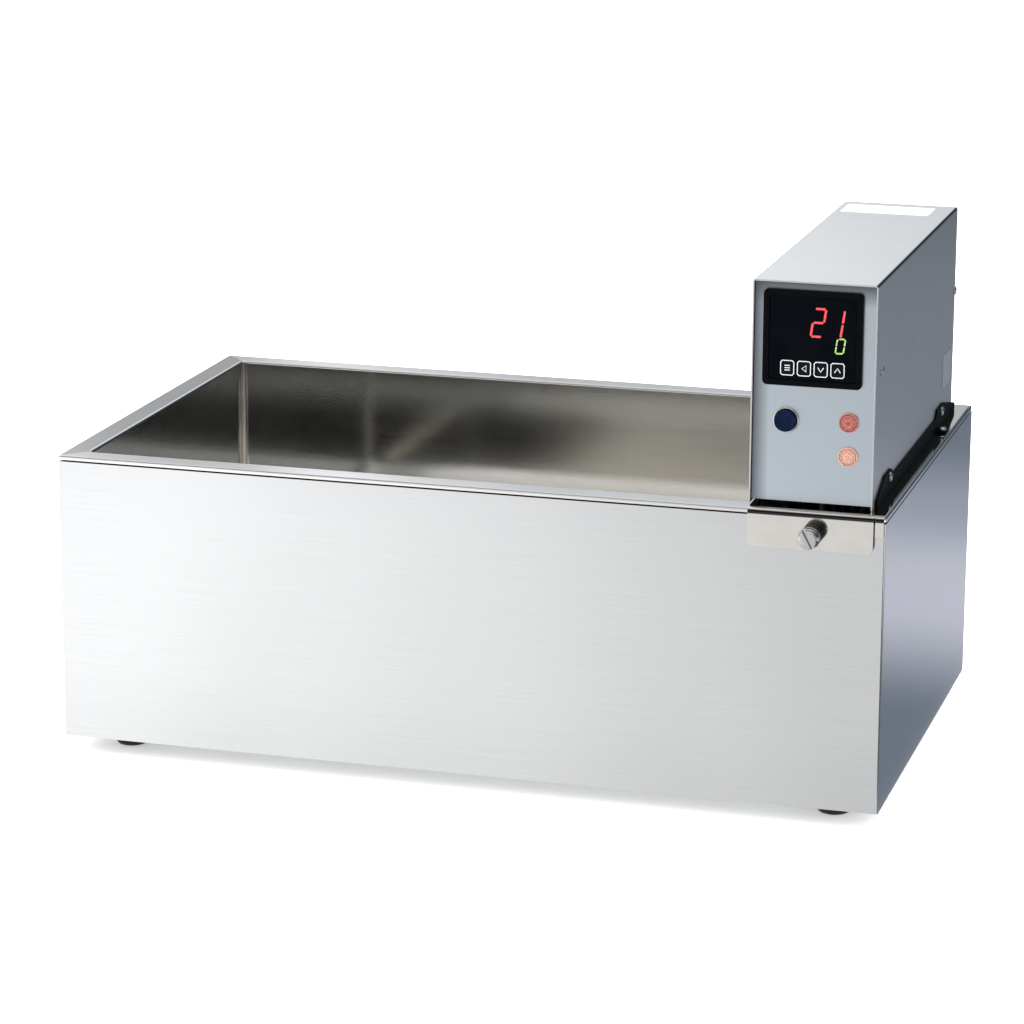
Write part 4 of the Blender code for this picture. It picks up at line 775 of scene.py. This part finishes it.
def stroke(points, thick, proud):
    """A printed line of even width through points of X and Z: a round curve made a mesh and pressed flat."""
    curve = bpy.data.curves.new("stroke", "CURVE")
    curve.dimensions, curve.bevel_depth, curve.bevel_resolution, curve.use_fill_caps = "3D", thick / 2, 2, True
    line = curve.splines.new("POLY")
    if points[0] == points[-1]:
        points, line.use_cyclic_u = points[:-1], True
    line.points.add(len(points) - 1)
    for point, spot in zip(line.points, points):
        point.co = (*spot, 1)
    only(stand("stroke", curve))
    bpy.ops.object.convert(target="MESH")
    item = bpy.context.object
    middle = Vector((0, points[0][1], 0))
    flat = Matrix.Scale(proud / thick, 4, Y)
    item.data.transform(Matrix.Translation(middle) @ flat @ Matrix.Translation(-middle))
    return item


class WATERBATH_OT_keys(bpy.types.Operator):
    """Round the four keys and print an outline and a plain mark on each"""
    bl_idname = "waterbath.keys"
    bl_label = "Keys"

    def execute(self, context):
        inset, cut, thick, proud = 1.1 * MM, 1.2 * MM, 0.7 * MM, 0.14 * MM
        for name, marks in KEY_MARKS.items():
            _, low, high = place(name)
            refine(name, name.replace("key", "key_cap"), name, "key_rubber", 0.25 * MM, 3)
            left, right, bottom, top = low.x + inset, high.x - inset, low.z + inset, high.z - inset
            outline = [(left + cut, bottom), (right - cut, bottom), (right, bottom + cut), (right, top - cut),
                       (right - cut, top), (left + cut, top), (left, top - cut), (left, bottom + cut),
                       (left + cut, bottom)]
            paths = [outline] + [[(left + (right - left) * a, bottom + (top - bottom) * b) for a, b in mark]
                                 for mark in marks]
            lines = [stroke([(x, low.y, z) for x, z in path], thick, proud) for path in paths]
            deliver(merge(*lines), name.replace("key", "key_print"), name, "blank_foil", finish="print")
        return {"FINISHED"}


# ---------------------------------------------------------------- controls and fasteners

class WATERBATH_OT_button(bpy.types.Operator):
    """Turn the dished push button and the bright ring round it"""
    bl_idname = "waterbath.button"
    bl_label = "Push button"

    def execute(self, context):
        middle, low, high = place("power_button")
        radius, tall = (high.x - low.x) / 2, high.y - low.y
        profile = [(0.3, 0), (0.96, 0), (0.98, 0.03), (0.98, 0.86), (1, 0.88), (1, 0.955), (0.985, 0.985),
                   (0.95, 1), (0.88, 1), (0.82, 0.985), (0.66, 0.955), (0.4, 0.93), (0.03, 0.92)]
        cap = turn_up([(radius * wide, tall * up) for wide, up in profile], 64)
        put(cap, (middle.x, high.y, middle.z), FRONT)
        deliver(cap, "push_button", "power_button", "navy_plastic", ["power_button"])
        middle, low, high = place("power_button_ring")
        outer, bore, thick = (high.x - low.x) / 2, radius + 0.25 * MM, high.y - low.y
        profile = [(bore, 0), (outer, 0), (outer, thick * 0.45), (outer - 0.3 * MM, thick * 0.8),
                   (outer - 0.75 * MM, thick), (bore + 0.5 * MM, thick), (bore + 0.1 * MM, thick * 0.8),
                   (bore, thick * 0.4)]
        ring = put(turn_up(profile, 64, ring=True), (middle.x, high.y, middle.z), FRONT)
        deliver(ring, "button_ring", "control_head", "polished_chrome", ["power_button_ring"])
        return {"FINISHED"}


class WATERBATH_OT_lamps(bpy.types.Operator):
    """Turn a ridged lens in its raised rim for each of the two lamps, with the bulb's dark middle"""
    bl_idname = "waterbath.lamps"
    bl_label = "Lamps"

    def execute(self, context):
        size = context.scene.water_bath_head
        seat, bore, core = place("face_panel")[1].y, 4.6 * MM, 1.9 * MM
        # How far in from the rim in millimetres, and how high in shares of what stands proud: the rim, a groove, and
        # two ridges.
        steps = [(0, 0), (0, 0.35), (0.35, 0.55), (0.9, 0.55), (1.3, 0.3), (1.5, 0.3), (1.7, 0.7), (2.1, 0.8),
                 (2.3, 0.66), (2.7, 0.66), (3.0, 0.86), (3.2, 0.86), (3.4, 0.76), (3.8, 0.76), (4.1, 0.93), (4.3, 0.93)]
        for lamp, colour in (("level_lamp", "red"), ("output_lamp", "orange")):
            slot = f"{colour}_lens"
            middle, low, high = place(f"{lamp}_lens")
            tall, deep = high.y - low.y, high.y - seat
            rim, proud = (high.x - low.x) / 2 + size.lamp_rim, tall - deep
            profile = [(0.5 * MM, 0), (bore, 0), (bore, deep)]
            profile += [(rim - inwards * MM, deep + proud * share) for inwards, share in steps]
            profile += [(rim - bore, tall), (0.2 * MM, tall)]
            lens = put(turn_up(profile, 56), (middle.x, high.y, middle.z), FRONT)
            deliver(lens, f"{lamp}_cap", "control_head", slot, [f"{lamp}_lens"], smooth=24)
            profile = [(0.2 * MM, 0), (core, 0), (core, 0.2 * MM)] + dome(core, 0.2 * MM, 0.5 * MM, 4)
            bulb = put(turn_up(profile, 32), (middle.x, low.y - 0.01 * MM, middle.z), FRONT)
            deliver(bulb, f"{lamp}_core", "control_head", slot, finish=f"{colour}_core", smooth=40)
        return {"FINISHED"}


class WATERBATH_OT_thumbscrew(bpy.types.Operator):
    """Turn the thumbscrew's knob, mill its slot and knurl, and turn its collar and threaded stud"""
    bl_idname = "waterbath.thumbscrew"
    bl_label = "Thumbscrew"

    def execute(self, context):
        middle, low, high = place("clamp_knob")
        radius, tall, neck = (high.x - low.x) / 2, high.y - low.y, context.scene.water_bath_head.knob_collar
        hub, bore, deep, facets, slot = radius * 0.68, 3.05 * MM, 5.8 * MM, 96, 1.4 * MM
        profile = [(0.2 * MM, deep), (bore, deep), (bore, 0), (hub, 0), (hub, neck - 0.2 * MM),
                   (radius * 0.9, neck), (radius * 0.97, neck + 0.15 * MM), (radius, neck + 0.6 * MM),
                   (radius, tall - 2.2 * MM), (radius * 0.96, tall - 1.2 * MM), (radius * 0.86, tall - 0.45 * MM),
                   (radius * 0.74, tall - 0.1 * MM), (radius * 0.6, tall), (0.2 * MM, tall)]
        knob = turn_up(profile, facets)
        edit(knob)
        # Every third facet of the grip is pressed in for the knurl.
        pick(lambda spot, way: math.hypot(way.x, way.y) > 0.98 and neck + 0.7 * MM < spot.z < tall - 2.3 * MM
             and int(round((math.atan2(spot.y, spot.x) / (2 * math.pi) + 0.5) * facets - 0.5)) % 3 == 0)
        bpy.ops.mesh.inset(thickness=0.05 * MM, use_individual=True)
        bpy.ops.transform.resize(value=(0.965, 0.965, 1), center_override=(0, 0, tall / 2))
        carve(knob, block((-slot, -radius * 1.2, tall - 2.2 * MM), (slot, radius * 1.2, tall + 2 * MM)))
        lean = math.radians(28)    # how far the slot stands from upright
        put(knob, (middle.x, high.y, middle.z), FRONT, lean)
        deliver(knob, "thumbscrew_knob", "clamp_knob", "polished_chrome", ["clamp_knob"], "screw", 30)
        inner, wide, end = radius * 0.69, radius * 0.98, neck - 0.3 * MM
        profile = [(inner, 0), (wide, 0), (wide, neck - 0.7 * MM), (wide - 0.4 * MM, end), (inner, end)]
        collar = put(turn_up(profile, 64, ring=True), (middle.x, high.y - 0.1 * MM, middle.z), FRONT)
        deliver(collar, "thumbscrew_collar", "clamp_knob", "case_plastic", finish="bezel")
        middle, low, high = place("clamp_stud")
        radius, tall = (high.x - low.x) / 2, high.y - low.y
        profile = [(0.2 * MM, 0), (radius - 0.7 * MM, 0), (radius - 0.3 * MM, 0.35 * MM)]
        for turn in range(9):
            profile += [(radius, (0.5 + turn) * MM), (radius - 0.5 * MM, (1.0 + turn) * MM)]
        profile += [(radius, tall - 0.8 * MM), (radius - 0.1 * MM, tall), (0.2 * MM, tall)]
        stud = put(turn_up(profile, 32), (middle.x, high.y, middle.z), FRONT)
        deliver(stud, "thumbscrew_stud", "clamp_stud", "screw_steel", ["clamp_stud"], smooth=20)
        return {"FINISHED"}


SCREW_HEAD = 2.0 * MM    # height of every pan head


def pan_screw(shank):
    """A pan-head screw along +Z with its seat at zero: crowned head, cross recess and threaded shank."""
    radius, tall, core, pitch = 3.5 * MM, SCREW_HEAD, 1.5 * MM, 0.7 * MM
    profile = [(0.2 * MM, -shank), (core * 0.7, -shank), (core, -shank + 0.4 * MM)]
    for turn in range(max(2, int(shank / pitch) - 1)):
        level = -shank + 0.5 * MM + turn * pitch
        profile += [(core * 0.84, level), (core, level + 0.3 * MM)]
    profile += [(core, 0), (radius * 0.97, 0), (radius, 0.15 * MM), (radius, 0.75 * MM)]
    item = turn_up(profile + dome(radius, 0.75 * MM, tall, 7, radius * 0.25), 36)
    for wide, long in ((0.42, 1.7), (1.7, 0.42)):
        cutter = block((-wide * MM, -long * MM, tall - 1.1 * MM), (wide * MM, long * MM, tall + 1 * MM))
        edit(cutter)
        pick(lambda spot, way: way.z < -0.9)
        bpy.ops.transform.resize(value=(0.7, 0.7, 1), center_override=(0, 0, 0))
        carve(item, cutter)
    return item


class WATERBATH_OT_screws(bpy.types.Operator):
    """Turn one pan-head screw with its cross recess and set a copy in every hole"""
    bl_idname = "waterbath.screws"
    bl_label = "Screws"

    def execute(self, context):
        master = pan_screw(5 * MM)
        for count, name in enumerate(("ear_screw_front", "ear_screw_back", "cover_screw_front", "cover_screw_back")):
            middle, _, high = place(name)
            screw = put(twin(master), (high.x - SCREW_HEAD, middle.y, middle.z), X, 0.5 + count * 0.9)
            deliver(screw, name.replace("screw", "pan_screw"), "control_head", "screw_steel", [name])
        middle, low, high = place("rim_screw")
        screw = put(pan_screw(high.z - low.z - SCREW_HEAD), (middle.x, middle.y, high.z - SCREW_HEAD), Z, 0.3)
        deliver(screw, "rim_pan_screw", "control_head", "screw_steel", ["rim_screw"])
        middle, low, high = place("back_panel")
        aside, inwards = 7.2 * MM, 15 * MM
        spots = [(x, z) for x in (low.x + aside, high.x - aside) for z in (low.z + inwards, middle.z, high.z - inwards)]
        for number, (x, z) in enumerate(spots):
            screw = put(twin(master), (x, high.y + 0.02 * MM, z), Y, 0.4 * number)
            deliver(screw, f"back_screw_{number + 1}", "bath", "screw_steel")
        bpy.data.objects.remove(master, do_unlink=True)
        return {"FINISHED"}


class WATERBATH_OT_strip(bpy.types.Operator):
    """Lay the bare strip on the head's top and the blank foil plate on its side"""
    bl_idname = "waterbath.strip"
    bl_label = "Bare strip and plate"

    def execute(self, context):
        _, low, high = place("head_cover")
        margin, wide, from_back = 5.5 * MM, 36 * MM, 12 * MM
        long = min(context.scene.water_bath_head.label_length, high.x - low.x - 2 * margin)
        left, back, rest, film = low.x + margin, high.y - from_back, 0.02 * MM, 0.12 * MM
        strip = block((left, back - wide, high.z + rest), (left + long, back, high.z + rest + film))
        edit(strip)
        pick(lambda spot, way: abs(way.z) > 0.9, "EDGE")
        bpy.ops.mesh.bevel(offset=2 * MM, segments=6, affect="EDGES")
        ease(strip, 0.04 * MM, 2, 60)
        deliver(strip, "bare_strip", "control_head", "blank_foil", finish="film")
        plate = block(*place("rating_plate")[1:])
        edit(plate)
        pick(lambda spot, way: way.x > 0.95)
        bpy.ops.mesh.inset(thickness=1.6 * MM, depth=0)
        bpy.ops.mesh.inset(thickness=0.3 * MM, depth=-0.12 * MM)
        pick(lambda spot, way: abs(way.x) > 0.95, "EDGE")
        bpy.ops.mesh.bevel(offset=1.2 * MM, segments=4, affect="EDGES")
        ease(plate, 0.06 * MM, 2, 60)
        deliver(plate, "blank_plate", "control_head", "blank_foil", ["rating_plate"])
        return {"FINISHED"}


class WATERBATH_OT_immersed(bpy.types.Operator):
    """Ease the heater, probe, stem, stop, float, shaft and impeller that hang in the tank"""
    bl_idname = "waterbath.immersed"
    bl_label = "Heater and sensors"

    def execute(self, context):
        for row in (("heater_element", "heater_tube", "control_head", "heater_steel", 0),
                    ("temperature_probe", "probe_tube", "control_head", "heater_steel", 0.3 * MM),
                    ("level_switch_stem", "switch_stem", "control_head", "heater_steel", 0.3 * MM),
                    ("float_stop", "lower_stop", "control_head", "white_nylon", 0.3 * MM),
                    ("level_float", "float_body", "level_float", "white_nylon", 0.5 * MM),
                    ("stirrer_shaft", "drive_shaft", "stirrer", "heater_steel", 0.3 * MM),
                    ("stirrer_impeller", "pitched_blades", "stirrer", "heater_steel", 0.2 * MM)):
            refine(*row, smooth=40)
        return {"FINISHED"}


class WATERBATH_OT_rear(bpy.types.Operator):
    """Cut the cord gland's hexagon and grips, the fuse holder's grips and slot, and turn the gland's seal"""
    bl_idname = "waterbath.rear"
    bl_label = "Rear fittings"

    def execute(self, context):
        rear = place("rear_panel")[2].y
        for name, new_name, hexagon in (("cord_gland", "cable_gland", 0.55), ("fuse_holder", "fuse_carrier", 0.0)):
            middle, low, high = place(name)
            radius, proud = (high.x - low.x) / 2, high.y - rear
            part = refined(name)
            if hexagon:
                outside = radius * 1.4
                low_end, top_end = 0.4 * MM, proud * hexagon
                profile = [(radius, low_end), (outside, low_end), (outside, top_end), (radius, top_end)]
                carve(part, put(turn_up(profile, 6, ring=True), (middle.x, rear, middle.z), Y))
            grips = []
            for step in range(12):
                grip = block((radius * 0.9, -0.5 * MM, proud * (hexagon + 0.1)), (radius * 1.3, 0.5 * MM, proud * 1.2))
                grip.data.transform(Matrix.Rotation(step * math.pi / 6, 4, "Z"))
                grips.append(grip)
            carve(part, put(merge(*grips), (middle.x, rear, middle.z), Y))
            if not hexagon:
                slot = block((-0.75 * MM, -radius * 0.7, -1.2 * MM), (0.75 * MM, radius * 0.7, 1 * MM))
                carve(part, put(slot, (middle.x, high.y, middle.z), Y, math.radians(35)))
            ease(part, 0.25 * MM, 2, 34)
            deliver(part, new_name, "control_head", "case_plastic", [name], smooth=30)
        middle, _, high = place("cord_gland")
        seal = turn_up([(2.6 * MM, 0), (4.2 * MM, 0), (4.2 * MM, 6 * MM), (3.0 * MM, 6 * MM)], 40, ring=True)
        put(seal, (middle.x, high.y - 7.5 * MM, middle.z), Y)
        deliver(seal, "gland_seal", "control_head", "black_rubber")
        return {"FINISHED"}


class WATERBATH_OT_plain_nodes(bpy.types.Operator):
    """Give every CAD piece that stays as it is the finish of its slot"""
    bl_idname = "waterbath.plain_nodes"
    bl_label = "Inner pieces"

    def execute(self, context):
        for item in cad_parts.values():
            for slot in item.material_slots:
                slot.material = FINISHES[FINISH_OF_SLOT[slot.material.name.split(".")[0]]]
        return {"FINISHED"}


# ---------------------------------------------------------------- stage, light and camera

def fade(tree, where, way, low, high, *stops):
    """Tones along a direction, eased from stop to stop: each is a share of the way and a grey, with how cool it is,
    or a colour."""
    colours = []
    for spot, *tone in stops:
        if len(tone) < 3:
            value, cool = (*tone, 0.0)[:2]
            tone = value * (1 - cool), value, value * (1 + cool)
        colours.append((spot, (*tone, 1)))
    return add(tree, "ValToRGB", {"Fac": progress(tree, where, way, low, high)}, colours, "EASE")


def card(name, low, high, height, *fades, grain=0.0):
    """A sheet of light or shade that only reflections see, its fades multiplied; with a grain it follows a noise."""
    item = start("plane", size=1, location=(0, 0, 0))
    item.data.transform(Matrix.Translation(((low[0] + high[0]) / 2, (low[1] + high[1]) / 2, height))
                        @ Matrix.Diagonal((high[0] - low[0], high[1] - low[1], 1, 1)))
    item.name = item.data.name = name
    material, tree, _ = blank(name)
    where = grains(tree, grain) if grain else add(tree, "TexCoord").outputs["Object"]
    colour = fade(tree, where, *fades[0])
    for more in fades[1:]:
        colour = add(tree, "Mix", {"Factor": 1.0, "A": colour, "B": fade(tree, where, *more)}, data_type="RGBA",
                     blend_type="MULTIPLY")
    feed(tree, tree.nodes["Material Output"], {"Surface": add(tree, "Emission", {"Color": colour, "Strength": 1.0})})
    item.data.materials.append(material)
    item.visible_camera = item.visible_diffuse = item.visible_shadow = item.visible_transmission = False
    return item


class WATERBATH_OT_stage(bpy.types.Operator):
    """Lay the floor, light it softly and aim the camera"""
    bl_idname = "waterbath.stage"
    bl_label = "Stage"

    def execute(self, context):
        size, scene = context.scene.water_bath_stage, context.scene
        for item in [item for item in scene.objects if item.type in {"LIGHT", "CAMERA"}]:
            bpy.data.objects.remove(item, do_unlink=True)
        floor = start("plane", size=24, location=(0, 0, 0))
        floor.name = "floor"
        # Seamless background paper: pale and matt, with a hardly visible cloudiness, and bright enough by itself
        # to run out into white.
        material, tree, shader = blank("pale paper", Roughness=0.75, Emission_Color=size.floor, Emission_Strength=0.35)
        darker = tuple(value * 0.985 for value in size.floor[:3]) + (1,)
        feed(tree, shader, {"Base Color": add(tree, "ValToRGB", {"Fac": grains(tree, 0.2)},
                                              [(0.35, darker), (0.65, tuple(size.floor))])})
        floor.data.materials.append(material)
        self.set_cards()
        self.light_room(scene, size)
        self.aim(scene)
        return {"FINISHED"}

    def set_cards(self):
        card("floor_card", (-12, -12), (12, 12), 0.5 * MM, (X, 0, 1, (0, 0.74), (1, 0.8)), grain=1.2)
        # In front: bright to the left, an even fall to the right along the mirrored rays, and a dark gap at the right.
        card("front_card", (-3.0, -3.2), (1.4, -0.185), 1.0 * MM,
             ((1, -0.28, 0), -0.27, 0.37, (0, 1.46), (0.25, 1.29), (0.5, 1.16), (0.8, 0.98), (1, 0.87)),
             (Y, -0.2, -3.2, (0, 0.9), (0.08, 0.97), (0.27, 1), (0.42, 0.78, 0.02), (0.55, 0.68, 0.03), (1, 0.6, 0.03)),
             (X, 0.34, 1.14, (0, 1), (0.1, 0.12), (0.5, 0.12), (0.8, 1.5), (1, 1.5)))
        # At the right: the cool, darker floor that the right-hand walls mirror.
        card("side_card", (0.325, -0.18), (2.4, 2.4), 1.2 * MM,
             (Y, -0.2, 1.8, (0, 0.165, 0.2, 0.25), (0.15, 0.165, 0.2, 0.25), (0.31, 0.62, 0.64, 0.73),
              (0.36, 0.62, 0.64, 0.73), (0.48, 0.36, 0.4, 0.47), (0.62, 0.165, 0.195, 0.24), (1, 0.165, 0.195, 0.24)))
        # Behind: bright high up and to the left, dark to the right, which the level faces mirror.
        wall = card("back_card", (-2.5, 0.0), (2.5, 2.0), 0.0,
                    (X, -1.6, 0.8, (0.08, 0.9), (0.146, 0.62), (0.217, 0.6), (0.28, 0.98), (0.34, 0.78),
                     (0.42, 0.64, 0.02), (0.5, 0.66, 0.03), (0.66, 0.55, 0.04), (0.8, 0.14, 0.1), (1, 0.08, 0.2)),
                    (Z, 0.9, 1.6, (0, 1), (0.3, 2.4), (0.6, 2.6), (1, 1.5)))
        wall.data.transform(Matrix.Translation((0, 2.2, 0)) @ Matrix.Rotation(math.pi / 2, 4, "X"))

    def light_room(self, scene, size):
        """A white room for the floor and walls; mirrors see a dark right, a cool back and a warm low front instead."""
        world = scene.world = bpy.data.worlds.new("studio")
        world.use_nodes = True
        tree = world.node_tree
        ground = tree.nodes["Background"]
        feed(tree, ground, {"Color": (1, 1, 1, 1), "Strength": size.light * 2.0})
        way = add(tree, "TexCoord").outputs["Generated"]
        right = fade(tree, way, Z, 0, 1, (0, 0.036, 0.2), (0.34, 0.036, 0.2), (0.5, 0.14, 0.1), (0.8, 0.3, 0.05),
                     (1, 0.7))
        back = fade(tree, way, Z, 0, 1, (0, 0.6, 0.03), (0.3, 0.66, 0.03), (0.6, 1.2), (0.85, 1), (1, 0.85))
        front = fade(tree, way, Z, 0, 1, (0, 1, 0.9, 0.77), (0.36, 1, 0.9, 0.77), (0.46, 0.2), (0.7, 0.22), (0.86, 0.7),
                     (1, 0.85))
        left = add(tree, "Mix", {"Factor": progress(tree, way, Y, -0.3, 0.3), "A": front, "B": back}, data_type="RGBA")
        mirrored = add(tree, "Mix", {"Factor": progress(tree, way, X, -0.02, 0.32), "A": left, "B": right},
                       data_type="RGBA")
        room = add(tree, "Background", {"Color": mirrored, "Strength": size.light})
        glossy = add(tree, "LightPath").outputs["Is Glossy Ray"]
        feed(tree, tree.nodes["World Output"], {"Surface": add(tree, "MixShader", {0: glossy, 1: ground, 2: room})})
        lamp = bpy.data.lights.new("overhead_softbox", "AREA")
        lamp.shape, lamp.size, lamp.size_y, lamp.energy = "RECTANGLE", 1.8, 1.4, size.overhead
        softbox = stand("overhead_softbox", lamp)
        softbox.location = (-0.5, 0.1, 2.2)
        softbox.rotation_euler = (0, math.radians(-12), 0)
        softbox.visible_glossy = False

    def aim(self, scene):
        """The camera that the photograph's corners give: turned, tipped and rolled in degrees, its place in metres."""
        lens = bpy.data.cameras.new("camera")
        lens.sensor_width, lens.lens, lens.clip_end = 36.0, 129.99, 60.0
        camera = scene.camera = stand("camera", lens)
        turn, rise, roll = math.radians(16.219), math.radians(14.822), math.radians(0.204)
        back = Vector((math.sin(turn) * math.cos(rise), -math.cos(turn) * math.cos(rise), math.sin(rise)))
        right = Vector((math.cos(turn), math.sin(turn), 0))
        up = back.cross(right)
        axes = Matrix((math.cos(roll) * right + math.sin(roll) * up,
                       -math.sin(roll) * right + math.cos(roll) * up, back)).transposed()
        camera.matrix_world = Matrix.Translation((0.7768, -2.7055, 0.9184)) @ axes.to_4x4()
        scene.view_settings.view_transform = "Standard"


# ---------------------------------------------------------------- panel and start

GROUPS = {"water_bath_body": WATERBATH_PG_body, "water_bath_head": WATERBATH_PG_head,
          "water_bath_stage": WATERBATH_PG_stage}
OPERATORS = (WATERBATH_OT_plain_nodes, WATERBATH_OT_casing, WATERBATH_OT_tank, WATERBATH_OT_feet, WATERBATH_OT_cover,
             WATERBATH_OT_mounting, WATERBATH_OT_controller, WATERBATH_OT_keys, WATERBATH_OT_button,
             WATERBATH_OT_lamps, WATERBATH_OT_thumbscrew, WATERBATH_OT_screws, WATERBATH_OT_strip,
             WATERBATH_OT_immersed, WATERBATH_OT_rear, WATERBATH_OT_stage)


class WATERBATH_PT_panel(bpy.types.Panel):
    """The bath's settings, and its pieces in the order in which they are made"""
    bl_idname = "WATERBATH_PT_panel"
    bl_label = "Water Bath"
    bl_space_type = "VIEW_3D"
    bl_region_type = "UI"
    bl_category = "Water Bath"

    def draw(self, context):
        column = self.layout.column()
        for name, group in GROUPS.items():
            for field in group.__annotations__:
                column.prop(getattr(context.scene, name), field)
        for step in OPERATORS:
            column.operator(step.bl_idname)


CLASSES = (*GROUPS.values(), *OPERATORS, WATERBATH_PT_panel)


def register():
    for item in CLASSES:
        bpy.utils.register_class(item)
    for name, group in GROUPS.items():
        setattr(bpy.types.Scene, name, PointerProperty(type=group))


def unregister():
    for name in GROUPS:
        delattr(bpy.types.Scene, name)
    for item in reversed(CLASSES):
        bpy.utils.unregister_class(item)


def main():
    register()
    FINISHES.update(make_finishes())
    for step in OPERATORS:
        getattr(bpy.ops.waterbath, step.bl_idname.split(".")[1])()


if __name__ == "__main__":
    main()
